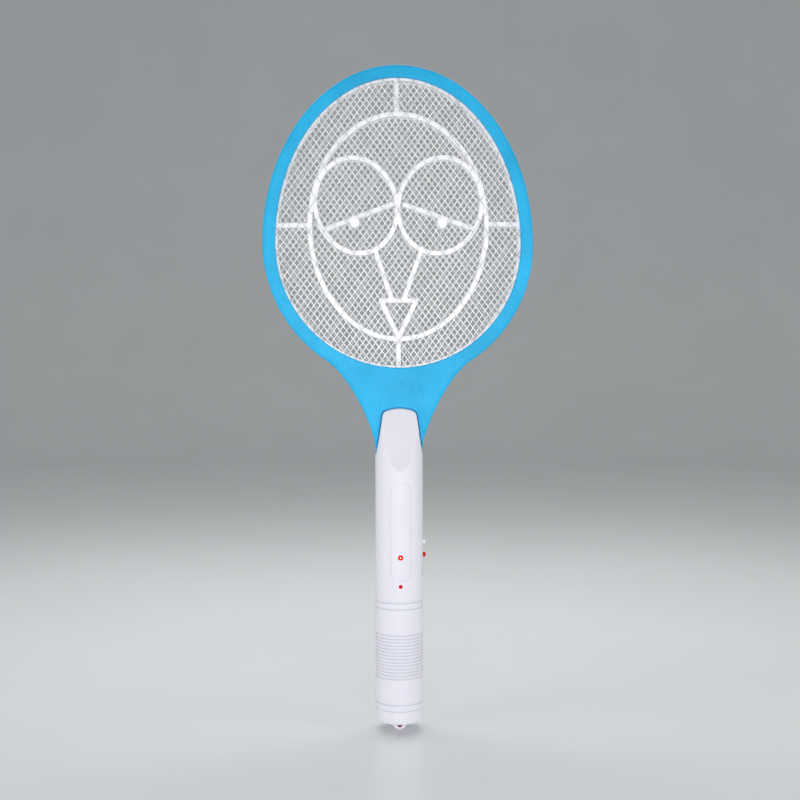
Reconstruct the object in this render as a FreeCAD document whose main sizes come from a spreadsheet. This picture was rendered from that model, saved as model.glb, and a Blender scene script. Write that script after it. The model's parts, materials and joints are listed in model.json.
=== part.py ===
import FreeCAD, Part
import math
import os
import Sketcher

# Electric fly swatter: a racket-shaped head with three meshes on a round handle.
# Frame: millimetres, +Z up along the handle, front towards -Y, origin at the foot of the end lug.

Vector = FreeCAD.Vector
UP = Vector(0, 0, 1)
LEFT = Vector(-1, 0, 0)
RIGHT = Vector(1, 0, 0)
BACK = Vector(0, 1, 0)
FRONT = -1
REAR = 1
SIDE_NAME = {FRONT: "front", REAR: "rear"}

SIZES = [
    ("handle_radius", 17.5, "outer radius of the handle"),
    ("handle_wall", 2.0, "wall of the handle shells"),
    ("handle_bottom", 16.9, "lower edge of the handle shells"),
    ("cavity_top", 185.0, "top of the handle's wide cavity"),
    ("shoulder_height", 203.0, "where the handle stops beside the neck"),
    ("tongue_top", 236.5, "top of the tongues that cover the neck"),
    ("tongue_corner", 232.3, "height of the tongue's corners"),
    ("tongue_half_width", 12.3, "half width of the tongue at its corners"),
    ("shoulder_step", 0.6, "step in at the foot of the tongue"),
    ("scoop_start", 190.0, "where the flat scoop begins"),
    ("scoop_break", 198.0, "where the scoop becomes shallow"),
    ("scoop_break_depth", 2.1, "depth of the scoop at its break"),
    ("scoop_top_depth", 7.8, "depth of the scoop at the tongue's top"),
    ("head_centre", 358.0, "height of the head's widest line"),
    ("head_half_width", 99.6, "half width of the head"),
    ("head_rise", 130.8, "head above its widest line"),
    ("head_drop", 102.0, "lower ellipse of the head below its widest line"),
    ("band_side", 9.2, "width of the frame's band at the sides"),
    ("band_top", 9.3, "width of the band at the top"),
    ("band_bottom", 10.4, "width of the band at the bottom"),
    ("frame_half", 8.0, "half thickness of the frame"),
    ("frame_lip", 3.0, "thickness of the lip that holds the guard mesh"),
    ("seat_overlap", 3.5, "how far the mesh seat reaches under the lip"),
    ("frame_edge", 2.5, "rounding of the frame's outer edge"),
    ("opening_edge", 0.8, "rounding of the frame's opening"),
    ("neck_junction", 53.5, "half width where the head's ellipse meets the neck"),
    ("neck_half_width", 16.8, "half width of the neck at the handle"),
    ("shoulder_pull", 20.0, "reach of the neck curve's upper tangent"),
    ("root_pull", 18.7, "reach of the neck curve's lower tangent"),
    ("tang_half_width", 14.0, "half width of the tang inside the handle"),
    ("tang_half", 4.9, "half thickness of the tang"),
    ("neck_half", 5.0, "half thickness of the neck at the handle"),
    ("neck_full", 221.0, "height where the neck reaches the frame's thickness"),
    ("tang_bottom", 185.6, "lower end of the tang"),
    ("channel_half_width", 3.0, "half width of the lead channel in the neck"),
    ("channel_half", 2.4, "half depth of the lead channel"),
    ("chamber_half_width", 11.0, "half width of the chamber below the meshes"),
    ("chamber_bottom", 246.0, "lower end of that chamber"),
    ("mesh_sheet", 0.6, "thickness of a mesh"),
    ("spacer_near", 0.45, "inner face of a spacer from the middle plane"),
    ("spacer_depth", 3.7, "thickness of a spacer"),
    ("guard_near", 4.3, "inner face of a guard mesh from the middle plane"),
    ("seat_gap", 0.25, "gap round the edge of a mesh or a spacer"),
    ("ring_reveal", 1.5, "how far the spacer's ring shows inside the opening"),
    ("rib_width", 3.5, "width of a spacer's ribs"),
    ("guard_pitch_x", 11.0, "width of a guard mesh cell"),
    ("guard_pitch_z", 16.0, "height of a guard mesh cell"),
    ("live_pitch_x", 9.4, "width of a live mesh cell block"),
    ("live_pitch_z", 12.6, "height of a live mesh cell block"),
    ("strand", 0.85, "width of a mesh strand"),
    ("button_height", 128.4, "height of the push button"),
    ("button_radius", 1.85, "radius of the push button"),
    ("button_face", 19.6, "outer face of the push button from the axis"),
    ("button_travel", 1.0, "travel of the push button"),
    ("knob_height", 138.0, "height of the slide knob at rest"),
    ("knob_length", 2.8, "height of the slide knob"),
    ("knob_face", 19.3, "outer face of the slide knob from the axis"),
    ("knob_travel", 3.0, "travel of the slide knob"),
    ("large_led_height", 128.5, "height of the large indicator"),
    ("small_led_height", 107.6, "height of the small indicator"),
    ("socket_height", 116.75, "height of the charging socket"),
    ("socket_mouth", 17.25, "mouth of the charging socket from the axis"),
    ("board_face", 2.2, "front face of the circuit board"),
    ("board_sheet", 1.6, "thickness of the circuit board"),
    ("board_half_width", 12.2, "half width of the circuit board"),
    ("board_bottom", 100.0, "lower edge of the circuit board"),
    ("board_top", 168.0, "upper edge of the circuit board"),
    ("cell_radius", 9.1, "radius of the battery cell"),
    ("cell_bottom", 24.8, "lower end of the battery cell"),
    ("cell_length", 65.0, "length of the battery cell"),
    ("lead_radius", 0.7, "radius of an insulated lead"),
    ("cap_bottom", 7.1, "flat underside of the end cap"),
    ("cap_corner", 2.2, "rounding of the end cap"),
    ("spigot_top", 22.2, "top of the end cap's spigot"),
    ("lug_radius", 6.0, "radius of the end lug"),
    ("lug_half", 3.2, "half thickness of the end lug"),
    ("jewel_radius", 1.8, "radius of the jewel in the lug"),
    ("jewel_height", 3.4, "height of the jewel"),
]


class Size:
    """A length in millimetres, and the spreadsheet expression that gives it."""

    def __init__(self, number, text):
        self.number = number
        self.text = text

    def __add__(self, other):
        other = size(other)
        return Size(self.number + other.number, f"({self.text} + {other.text})")

    def __sub__(self, other):
        other = size(other)
        return Size(self.number - other.number, f"({self.text} - {other.text})")

    def __mul__(self, factor):
        return Size(self.number * factor, f"({self.text} * {factor:.9f})")

    __rmul__ = __mul__

    def __neg__(self):
        return self * -1.0


def size(value):
    """A Size from a Size, an alias of the spreadsheet or a plain number."""
    if isinstance(value, Size):
        return value
    if isinstance(value, str):
        return Size(float(dims.get(value)), f"dims.{value}")
    return Size(float(value), f"{float(value):.9f}")


def write_sheet():
    """Fill the spreadsheet that drives the model: one row for each driving dimension."""
    for row, (alias, number, note) in enumerate(SIZES, start=1):
        dims.set(f"A{row}", note)
        dims.set(f"B{row}", str(number))
        dims.setAlias(f"B{row}", alias)
    doc.recompute()


# ---- sketches ---------------------------------------------------------------------------------

def new_body(label):
    body = doc.addObject("PartDesign::Body", label)
    body.Label = label
    return body


def sketch_on(body, plane, name, lift=0.0):
    """A sketch on one of the body's own origin planes, lifted along the plane's normal."""
    sketch = body.newObject("Sketcher::SketchObject", name)
    support = next(item for item in body.Origin.OriginFeatures if item.Role == plane)
    sketch.AttachmentSupport = [(support, "")]
    sketch.MapMode = "FlatFace"
    sketch.setExpression("AttachmentOffset.Base.z", size(lift).text)
    return sketch


def place_point(sketch, index, end, x, y):
    """Hold a sketch point at x, y with dimensions that follow the spreadsheet."""
    for kind, axis, value in (("DistanceX", -2, size(x)), ("DistanceY", -1, size(y))):
        if abs(value.number) < 1e-9:
            sketch.addConstraint(Sketcher.Constraint("PointOnObject", index, end, axis))
        elif value.number > 0:
            held = sketch.addConstraint(Sketcher.Constraint(kind, -1, 1, index, end, value.number))
            sketch.setExpression(f"Constraints[{held}]", value.text)
        else:
            held = sketch.addConstraint(Sketcher.Constraint(kind, index, end, -1, 1, -value.number))
            sketch.setExpression(f"Constraints[{held}]", (-value).text)


def polygon(sketch, corners):
    """A closed polygon through the corners."""
    corners = [(size(x), size(y)) for x, y in corners]
    points = [Vector(x.number, y.number, 0) for x, y in corners]
    first = sketch.GeometryCount
    count = len(points)
    for index in range(count):
        sketch.addGeometry(Part.LineSegment(points[index], points[(index + 1) % count]), False)
    for index in range(count):
        following = first + (index + 1) % count
        sketch.addConstraint(Sketcher.Constraint("Coincident", first + index, 2, following, 1))
    for index, (x, y) in enumerate(corners):
        place_point(sketch, first + index, 1, x, y)


def rectangle(sketch, x_low, x_high, y_low, y_high):
    polygon(sketch, [(x_low, y_low), (x_high, y_low), (x_high, y_high), (x_low, y_high)])


def circle(sketch, x, y, radius):
    radius = size(radius)
    centre = Vector(size(x).number, size(y).number, 0)
    index = sketch.addGeometry(Part.Circle(centre, UP, radius.number), False)
    place_point(sketch, index, 3, x, y)
    held = sketch.addConstraint(Sketcher.Constraint("Radius", index, radius.number))
    sketch.setExpression(f"Constraints[{held}]", radius.text)


def fixed_loop(sketch, curves):
    """A closed loop of curves, each starting where the last one ends."""
    for curve in curves:
        index = sketch.addGeometry(curve, False)
        sketch.addConstraint(Sketcher.Constraint("Block", index))


def half_ellipse(x, y, half_width, half_height, upper, start=-90.0, end=90.0, tilt=0.0):
    """Half an ellipse, anticlockwise, its pole leaning left by the tilt; angles count from the pole."""
    pole = half_height if upper else -half_height
    side = -half_width if upper else half_width
    lean = math.radians(tilt)
    centre = Vector(x, y, 0)
    to_pole = Vector(-math.sin(lean), math.cos(lean), 0) * pole
    to_side = Vector(math.cos(lean), math.sin(lean), 0) * side
    whole = Part.Ellipse(centre + to_pole, centre + to_side, centre)
    return Part.ArcOfEllipse(whole, math.radians(start), math.radians(end))


def egg(half_width, rise, drop):
    """The head's egg outline: an upper and a lower half ellipse on the widest line."""
    centre = size("head_centre").number
    upper = half_ellipse(0, centre, size(half_width).number, size(rise).number, True)
    lower = half_ellipse(0, centre, size(half_width).number, size(drop).number, False)
    return [upper, lower]


# ---- features ---------------------------------------------------------------------------------

def grow(body, sketch, length, towards_normal=True, both_sides=False):
    """Pad a sketch."""
    pad = body.newObject("PartDesign::Pad", sketch.Name + "_pad")
    pad.Profile = sketch
    pad.SideType = "Symmetric" if both_sides else "One side"
    pad.Reversed = not towards_normal
    pad.setExpression("Length", size(length).text)
    doc.recompute()
    return pad


def cut(body, sketch, length, towards_normal=False, both_sides=False):
    """Pocket a sketch, and make sure that it takes something away."""
    before = body.Shape.Volume
    pocket = body.newObject("PartDesign::Pocket", sketch.Name + "_pocket")
    pocket.Profile = sketch
    pocket.SideType = "Symmetric" if both_sides else "One side"
    pocket.Reversed = towards_normal
    pocket.setExpression("Length", size(length).text)
    doc.recompute()
    if body.Shape.Volume > before - 1e-3:
        raise RuntimeError(f"{pocket.Name} cuts nothing")
    return pocket


def turn(body, sketch, angle, kind="Revolution"):
    """Revolve a sketch about the handle's axis, half of the angle to each side."""
    feature = body.newObject("PartDesign::" + kind, f"{sketch.Name}_{kind.lower()}")
    feature.Profile = sketch
    feature.ReferenceAxis = (sketch, ["V_Axis"])
    feature.Angle = angle
    feature.Midplane = True
    doc.recompute()
    return feature


def repeat_up(body, feature, count, pitch):
    """Repeat a feature upwards along Z."""
    pattern = body.newObject("PartDesign::LinearPattern", feature.Name + "_row")
    pattern.Originals = [feature]
    z_axis = next(item for item in body.Origin.OriginFeatures if item.Role == "Z_Axis")
    pattern.Direction = (z_axis, [""])
    pattern.setExpression("Length", (size(pitch) * (count - 1)).text)
    pattern.Occurrences = count
    body.Tip = pattern
    doc.recompute()
    return pattern


def middle_of(edge):
    return edge.valueAt((edge.FirstParameter + edge.LastParameter) / 2)


def round_edges(body, feature, radius, wanted):
    """Fillet the edges of a feature that satisfy a test."""
    names = []
    for number, edge in enumerate(feature.Shape.Edges, start=1):
        if wanted(edge):
            names.append(f"Edge{number}")
    fillet = body.newObject("PartDesign::Fillet", feature.Name + "_round")
    fillet.Base = (feature, names)
    fillet.setExpression("Radius", size(radius).text)
    doc.recompute()
    return fillet


def bind(item, name, value):
    item.setExpression(name, size(value).text)


def box(label, x_low, x_high, y_low, y_high, z_low, z_high):
    item = doc.addObject("Part::Box", label)
    item.Label = label
    spans = (("Length", "x", x_low, x_high), ("Width", "y", y_low, y_high), ("Height", "z", z_low, z_high))
    for name, axis, low, high in spans:
        bind(item, name, size(high) - size(low))
        bind(item, f"Placement.Base.{axis}", low)
    return item


def cylinder(label, radius, length, foot, direction=UP):
    item = doc.addObject("Part::Cylinder", label)
    item.Label = label
    item.Placement = FreeCAD.Placement(Vector(), FreeCAD.Rotation(UP, direction))
    bind(item, "Radius", radius)
    bind(item, "Height", length)
    for axis, value in zip("xyz", foot):
        bind(item, f"Placement.Base.{axis}", value)
    return item


def ball(label, radius, centre):
    item = doc.addObject("Part::Sphere", label)
    item.Label = label
    bind(item, "Radius", radius)
    for axis, value in zip("xyz", centre):
        bind(item, f"Placement.Base.{axis}", value)
    return item


def fuse(label, items):
    item = doc.addObject("Part::MultiFuse", label)
    item.Label = label
    item.Shapes = items
    return item


def subtract(label, base, tool):
    item = doc.addObject("Part::Cut", label)
    item.Label = label
    item.Base = base
    item.Tool = tool
    return item


def common(label, base, tool):
    item = doc.addObject("Part::Common", label)
    item.Label = label
    item.Base = base
    item.Tool = tool
    return item


def group(label, items):
    """Separate solids that share one node."""
    item = doc.addObject("Part::Compound", label)
    item.Label = label
    item.Links = items
    return item


def wire_tube(label, points, radius):
    """An insulated lead: straight runs joined by tangent arcs, as wide as the runs allow."""
    points = [Vector(*point) for point in points]
    edges = []
    start = points[0]
    radii = []
    for before, corner, after in zip(points, points[1:], points[2:]):
        inward = (corner - before).normalize()
        outward = (after - corner).normalize()
        half_turn = inward.getAngle(outward) / 2
        reach = 0.45 * min((corner - before).Length, (after - corner).Length)
        radii.append(reach / math.tan(half_turn))
        entry = corner - inward * reach
        leave = corner + outward * reach
        towards = (outward - inward).normalize()
        centre = corner + towards * (reach / math.sin(half_turn))
        middle = centre - towards * radii[-1]
        edges.append(Part.LineSegment(start, entry).toShape())
        edges.append(Part.Arc(entry, middle, leave).toShape())
        start = leave
    edges.append(Part.LineSegment(start, points[-1]).toShape())
    path = Part.Wire(edges)
    first_run = (points[1] - points[0]).normalize()
    section = Part.Wire([Part.Circle(points[0], first_run, size(radius).number).toShape()])
    item = doc.addObject("Part::Feature", label)
    item.Label = label
    item.Shape = path.makePipeShell([section], True, False)
    item.Placement = FreeCAD.Placement()
    expected = path.Length * math.pi * size(radius).number ** 2
    print(f"{label}: {path.Length:.1f} mm long, tightest bend {min(radii):.1f} mm, "
          f"volume {item.Shape.Volume / expected:.3f} of section times length")
    return item


# ---- head -------------------------------------------------------------------------------------

def opening_sizes(inward=0.0):
    """Half width, rise and drop of the frame's opening, made smaller by inward."""
    return (
        size("head_half_width") - size("band_side") - size(inward),
        size("head_rise") - size("band_top") - size(inward),
        size("head_drop") - size("band_bottom") - size(inward),
    )


def seat_sizes(gap=0.0):
    """Half width, rise and drop of the seat under the lip, made smaller by a gap."""
    return opening_sizes(size(gap) - size("seat_overlap"))


def neck_curve(side):
    """The reverse curve from the head's lower ellipse down to the neck."""
    width = size("head_half_width").number
    drop = size("head_drop").number
    junction = size("neck_junction").number
    fall = math.sqrt(1 - (junction / width) ** 2)
    top = Vector(side * junction, size("head_centre").number - drop * fall, 0)
    along = Vector(-side * width * fall, -drop * junction / width, 0).normalize()
    foot = Vector(side * size("neck_half_width").number, size("shoulder_height").number + 0.2, 0)
    curve = Part.BezierCurve()
    upper_pull = top + along * size("shoulder_pull").number
    lower_pull = foot + Vector(0, size("root_pull").number, 0)
    curve.setPoles([top, upper_pull, lower_pull, foot])
    return curve.toBSpline()


def reversed_curve(curve):
    turned = curve.copy()
    turned.reverse()
    return turned


def head_outline():
    """Outer outline of the head with its neck, anticlockwise from the right end of the widest line."""
    width = size("head_half_width").number
    centre = size("head_centre").number
    drop = size("head_drop").number
    turn_off = math.degrees(math.asin(size("neck_junction").number / width))
    left = neck_curve(-1)
    right = neck_curve(1)
    return [
        half_ellipse(0, centre, width, size("head_rise").number, True),
        half_ellipse(0, centre, width, drop, False, -90.0, -turn_off),
        left,
        Part.LineSegment(left.EndPoint, right.EndPoint),
        reversed_curve(right),
        half_ellipse(0, centre, width, drop, False, turn_off, 90.0),
    ]


def frame_screw_places():
    """Places of the frame's screws: six round the band and two in the neck."""
    half_width = (size("head_half_width").number + seat_sizes()[0].number) / 2
    rise = (size("head_rise").number + seat_sizes()[1].number) / 2
    drop = (size("head_drop").number + seat_sizes()[2].number) / 2
    centre = size("head_centre").number
    places = []
    for degrees in (18, 62, 118, 162, 208, 332):
        angle = math.radians(degrees)
        reach = rise if math.sin(angle) > 0 else drop
        places.append((half_width * math.cos(angle), centre + reach * math.sin(angle)))
    return places + [(-20.0, 250.0), (20.0, 250.0)]


FRAME_SCREW_RADIUS = 0.95
FRAME_HEAD_RADIUS = 1.8
FRAME_HEAD_HEIGHT = 1.4
FRAME_SEAT = 5.0
FRAME_PILOT = 5.2
FRAME_SCREW_TIP = 4.8
HANDLE_SCREWS = ((0.0, 96.0), (-7.0, 194.0), (7.0, 194.0))
HANDLE_SCREW_RADIUS = 1.4
HANDLE_HEAD_RADIUS = 2.6
HANDLE_HEAD_HEIGHT = 2.0
HANDLE_SEAT = 10.0
HANDLE_SCREW_TIP = 11.5


def frame_half(side):
    """One half shell of the blue frame, with its lip, mesh seat, lead channel and tang."""
    outwards = side == FRONT
    body = new_body(f"frame_{SIDE_NAME[side]}")
    outline = sketch_on(body, "XZ_Plane", body.Name + "_outline")
    fixed_loop(outline, head_outline())
    fixed_loop(outline, egg(*opening_sizes()))
    plate = grow(body, outline, "frame_half", outwards)
    face = side * size("frame_half").number
    neck_foot = size("shoulder_height").number + 0.5

    def on_flat_face(edge):
        middle = middle_of(edge)
        return abs(middle.y - face) < 1e-3 and middle.z > neck_foot

    def outside_opening(edge):
        middle = middle_of(edge)
        width, rise, drop = (item.number + 2 for item in opening_sizes())
        reach = rise if middle.z > size("head_centre").number else drop
        height = middle.z - size("head_centre").number
        return (middle.x / width) ** 2 + (height / reach) ** 2 > 1

    def on_outer_edge(edge):
        return on_flat_face(edge) and outside_opening(edge)

    def on_opening_edge(edge):
        return on_flat_face(edge) and not outside_opening(edge)

    rounded = round_edges(body, plate, "frame_edge", on_outer_edge)
    round_edges(body, rounded, "opening_edge", on_opening_edge)

    slope = sketch_on(body, "YZ_Plane", body.Name + "_neck_slope")
    clear = (size("frame_half") + 1.0) * side
    polygon(slope, [
        (size("neck_half") * side, "shoulder_height"),
        (size("frame_half") * side, "neck_full"),
        (clear, "neck_full"),
        (clear, "shoulder_height"),
    ])
    cut(body, slope, 60.0, False, True)

    tang = sketch_on(body, "XZ_Plane", body.Name + "_tang")
    half_width = size("tang_half_width")
    rectangle(tang, -half_width, half_width, "tang_bottom", size("shoulder_height") + 1.0)
    grow(body, tang, "tang_half", outwards)

    seat = sketch_on(body, "XZ_Plane", body.Name + "_seat")
    fixed_loop(seat, egg(*seat_sizes()))
    cut(body, seat, size("frame_half") - size("frame_lip"), outwards)

    channel = sketch_on(body, "XZ_Plane", body.Name + "_channel")
    half_width = size("channel_half_width")
    rectangle(channel, -half_width, half_width, size("tang_bottom") - 1.0, size("chamber_bottom") + 1.0)
    cut(body, channel, "channel_half", outwards)

    chamber = sketch_on(body, "XZ_Plane", body.Name + "_chamber")
    half_width = size("chamber_half_width")
    chamber_top = size("head_centre") - seat_sizes()[2] + 2.0
    rectangle(chamber, -half_width, half_width, "chamber_bottom", chamber_top)
    cut(body, chamber, size("frame_half") - size("frame_lip"), outwards)

    holes = sketch_on(body, "XZ_Plane", body.Name + "_screw_holes")
    for x, z in frame_screw_places():
        circle(holes, x, z, FRAME_SCREW_RADIUS + 0.1)
    cut(body, holes, 20.0 if side == REAR else FRAME_PILOT, outwards)

    through = sketch_on(body, "XZ_Plane", body.Name + "_tang_holes")
    for x, z in HANDLE_SCREWS[1:]:
        circle(through, x, z, HANDLE_SCREW_RADIUS + 0.3)
    cut(body, through, 20.0, outwards)

    if side == REAR:
        seats = sketch_on(body, "XZ_Plane", body.Name + "_screw_seats", -size(FRAME_SEAT))
        for x, z in frame_screw_places():
            circle(seats, x, z, FRAME_HEAD_RADIUS + 0.1)
        cut(body, seats, 10.0)
    return body


def bar_corners(start, end, width):
    """Corners of a straight rib from start to end."""
    run = Vector(end[0] - start[0], end[1] - start[1], 0)
    across = Vector(-run.y, run.x, 0).normalize() * (width / 2)
    ends = [Vector(start[0], start[1], 0), Vector(end[0], end[1], 0)]
    points = [ends[0] - across, ends[1] - across, ends[1] + across, ends[0] + across]
    return [(point.x, point.y) for point in points]


# The ribs of a spacer: rings as (x, z, half width, half height, lean to the left in degrees), bars
# as (start, end), and small discs as (x, z, radius). All are centre lines in millimetres.
RIB_RINGS = {
    "oval": (0.0, 370.6, 65.2, 82.8, 0.0),
    "left_eye": (-31.3, 385.8, 29.9, 35.3, 14.0),
    "right_eye": (30.7, 386.4, 30.7, 35.7, -16.0),
}
RIB_BARS = {
    "top_spoke": ((-1.5, 452.0), (-1.5, 481.0)),
    "bottom_spoke": ((-0.3, 264.5), (-0.3, 290.6)),
    "left_spoke": ((-92.0, 370.8), (-64.0, 370.8)),
    "right_spoke": ((64.0, 372.8), (92.0, 372.8)),
    "left_brow": ((-3.0, 387.7), (-56.0, 367.2)),
    "right_brow": ((3.0, 387.2), (56.6, 368.9)),
    "left_nose": ((-18.0, 355.0), (-4.8, 316.1)),
    "right_nose": ((17.6, 355.4), (3.4, 316.1)),
    "triangle_top": ((-14.4, 316.1), (14.2, 316.1)),
    "triangle_left": ((-13.1, 316.1), (-0.8, 289.8)),
    "triangle_right": ((12.9, 316.1), (0.4, 289.8)),
}
RIB_DISCS = {
    "left_pupil": (-32.2, 373.0, 3.9),
    "right_pupil": (32.0, 373.4, 4.3),
}


def spacer(side):
    """The white rib spacer between the live mesh and a guard mesh."""
    outwards = side == FRONT
    body = new_body(f"{SIDE_NAME[side]}_spacer")
    near = size("spacer_near") * -side
    depth = size("spacer_depth")
    half_rib = size("rib_width").number / 2

    rim = sketch_on(body, "XZ_Plane", body.Name + "_rim", near)
    fixed_loop(rim, egg(*seat_sizes("seat_gap")))
    fixed_loop(rim, egg(*opening_sizes("ring_reveal")))
    grow(body, rim, depth, outwards)

    for name, (x, z, half_width, half_height, tilt) in RIB_RINGS.items():
        ring = sketch_on(body, "XZ_Plane", f"{body.Name}_{name}", near)
        for grown in (half_rib, -half_rib):
            loop = []
            for upper in (True, False):
                loop.append(half_ellipse(x, z, half_width + grown, half_height + grown, upper, tilt=tilt))
            fixed_loop(ring, loop)
        grow(body, ring, depth, outwards)
    for name, (start, end) in RIB_BARS.items():
        bar = sketch_on(body, "XZ_Plane", f"{body.Name}_{name}", near)
        polygon(bar, bar_corners(start, end, 2 * half_rib))
        grow(body, bar, depth, outwards)
    for name, (x, z, radius) in RIB_DISCS.items():
        disc = sketch_on(body, "XZ_Plane", f"{body.Name}_{name}", near)
        circle(disc, x, z, radius)
        grow(body, disc, depth, outwards)
    return body


def diamond_holes(pitch_x, pitch_z, strand, limit):
    """The whole diamond cells of an expanded mesh that lie inside the limit outline."""
    half_x = pitch_x / 2
    half_z = pitch_z / 2
    shrink = strand / 2 * math.hypot(half_x, half_z)
    reach_x = half_x - shrink / half_z
    reach_z = half_z - shrink / half_x
    half_width, rise, drop = limit
    centre = size("head_centre").number

    def inside(x, z):
        reach = rise if z > 0 else drop
        return (x / half_width) ** 2 + (z / reach) ** 2 < 1

    holes = []
    rows = int(max(rise, drop) / half_z) + 1
    columns = int(half_width / pitch_x) + 1
    for row in range(-rows, rows + 1):
        for column in range(-columns, columns + 1):
            x = (column + 0.5 * (row % 2)) * pitch_x
            z = row * half_z
            corners = [(x + reach_x, z), (x, z + reach_z), (x - reach_x, z), (x, z - reach_z)]
            if all(inside(*corner) for corner in corners):
                points = [Vector(corner[0], 0, centre + corner[1]) for corner in corners]
                holes.append(Part.makePolygon(points + points[:1]))
    return holes


def mesh_sheet(label, middle, pitch_x, pitch_z, tab_x):
    """An expanded metal mesh with a solder tab at its lower edge."""
    thickness = size("mesh_sheet").number
    width, rise, drop = (item.number for item in seat_sizes("seat_gap"))
    centre = size("head_centre").number
    upper = half_ellipse(0, centre, width, rise, True).toShape()
    lower = half_ellipse(0, centre, width, drop, False).toShape()
    blank = Part.Face(Part.Wire([upper, lower]))
    blank.rotate(Vector(), RIGHT, 90)
    tab_low = size("chamber_bottom").number + 6.0
    tab = Part.makePlane(4.0, 14.0, Vector(tab_x - 2.0, 0, tab_low), Vector(0, -1, 0), RIGHT)
    blank = blank.fuse(tab).removeSplitter().Faces[0]
    limit = [item.number - 0.2 for item in opening_sizes()]
    holes = diamond_holes(size(pitch_x).number, size(pitch_z).number, size("strand").number, limit)
    sheet = Part.makeFace([blank.OuterWire] + holes, "Part::FaceMakerBullseye")
    item = doc.addObject("Part::Feature", label)
    item.Label = label
    item.Shape = sheet.extrude(BACK * thickness)
    item.Placement = FreeCAD.Placement(Vector(0, middle - thickness / 2, 0), FreeCAD.Rotation())
    return item


def guard_bridge():
    """The strip that joins the tabs of the two guard meshes, bent like a staple."""
    reach = size("guard_near") - 0.05
    low = size("chamber_bottom") + 6.5
    strip = box("bridge_strip", 5.6, 8.4, -reach, reach, low, low + 0.4)
    front_leg = box("bridge_front_leg", 5.6, 8.4, -reach, -reach + 0.4, low, low + 5.0)
    rear_leg = box("bridge_rear_leg", 5.6, 8.4, reach - 0.4, reach, low, low + 5.0)
    return fuse("guard_bridge", [strip, front_leg, rear_leg])


def screw(name, place, seat, tip, shank_radius, head_radius, head_height):
    """A pan-head screw driven from the rear, with a cross recess."""
    x, z = place
    shank = cylinder(name + "_shank", shank_radius, seat + tip, (x, -tip, z), BACK)
    head = cylinder(name + "_head", head_radius, head_height, (x, seat, z), BACK)
    whole = fuse(name + "_blank", [shank, head])
    low = seat + head_height * 0.5
    high = seat + head_height + 1.0
    arms = []
    for axis, (reach_x, reach_z) in (("x", (0.6, 0.13)), ("z", (0.13, 0.6))):
        half_x = head_radius * reach_x
        half_z = head_radius * reach_z
        arms.append(box(f"{name}_slot_{axis}", x - half_x, x + half_x, low, high, z - half_z, z + half_z))
    return subtract(name, whole, fuse(name + "_cross", arms))


def frame_screws():
    screws = []
    for number, place in enumerate(frame_screw_places(), start=1):
        screws.append(screw(f"frame_screw_{number}", place, FRAME_SEAT, FRAME_SCREW_TIP,
                            FRAME_SCREW_RADIUS, FRAME_HEAD_RADIUS, FRAME_HEAD_HEIGHT))
    return group("frame_screws", screws)


def handle_screws():
    screws = []
    for number, place in enumerate(HANDLE_SCREWS, start=1):
        screws.append(screw(f"handle_screw_{number}", place, HANDLE_SEAT, HANDLE_SCREW_TIP - 0.3,
                            HANDLE_SCREW_RADIUS, HANDLE_HEAD_RADIUS, HANDLE_HEAD_HEIGHT))
    return group("handle_screws", screws)


# ---- handle -----------------------------------------------------------------------------------

LARGE_LED_RADIUS = 2.5
SMALL_LED_RADIUS = 1.5
LARGE_LED_LENGTH = 8.6
SMALL_LED_LENGTH = 5.3
LED_TIP = 17.9
LARGE_LED_MOUTH = 1.95
SMALL_LED_MOUTH = 1.42
LARGE_LED_SHELF = 16.9
SMALL_LED_SHELF = 17.05
LED_BORE_START = 10.0
LED_PIN_RADIUS = 0.25
LED_PIN_REACH = 1.27
KNOB_HALF_WIDTH = 1.7
SOCKET_HALF_LENGTH = 3.75
SOCKET_DEPTH = 2.7
SOCKET_BACK = 9.0
SOCKET_SHEET = 0.4
SOCKET_TONGUE_HALF = 2.6
PORT_RECESS_DEPTH = 1.1
PORT_RECESS_HALF_WIDTH = 5.5
PORT_RECESS_BELOW = 12.25
PORT_RECESS_ABOVE = 5.75
# Half width of the tongue's crowned top edge against the drop from its middle.
TONGUE_CROWN = ((4.4, 0.35), (8.4, 1.3), (11.2, 2.7))

# Rows of grooves as (height of the first, count, pitch).
GRIP_GROOVES = (40.4, 14, 2.415)
UPPER_GROOVES = (90.8, 2, 4.6)
LOWER_GROOVE = (21.5, 1, 1.0)
GROOVE_WIDTH = 1.2
GROOVE_DEPTH = 0.5
CELL_RIBS = (34.0, 3, 22.0)
CELL_RIB_WIDTH = 1.6
LEAD_NOTCH_X = 12.4
LEAD_NOTCH_HALF = 1.5
NECK_GAP = 0.05


def groove_row(body, side, name, first, count, pitch):
    """Shallow grooves round the handle."""
    outer = size("handle_radius")
    profile = sketch_on(body, "YZ_Plane", f"{body.Name}_{name}")
    deep = (outer - GROOVE_DEPTH) * side
    proud = (outer + 1.0) * side
    rectangle(profile, deep, proud, first - GROOVE_WIDTH / 2, first + GROOVE_WIDTH / 2)
    groove = turn(body, profile, 360, "Groove")
    if count > 1:
        repeat_up(body, groove, count, pitch)


def led_seat(body, name, radius, mouth, shelf):
    """An indicator's stepped hole: a bore for its barrel up to the shelf, then a smaller mouth."""
    for step, bore, length in (("bore", radius + 0.1, shelf - LED_BORE_START), ("mouth", mouth, 12.0)):
        hole = sketch_on(body, "XZ_Plane", f"{body.Name}_{name}_{step}", LED_BORE_START)
        circle(hole, 0, name + "_height", bore)
        cut(body, hole, length, True)


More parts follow.
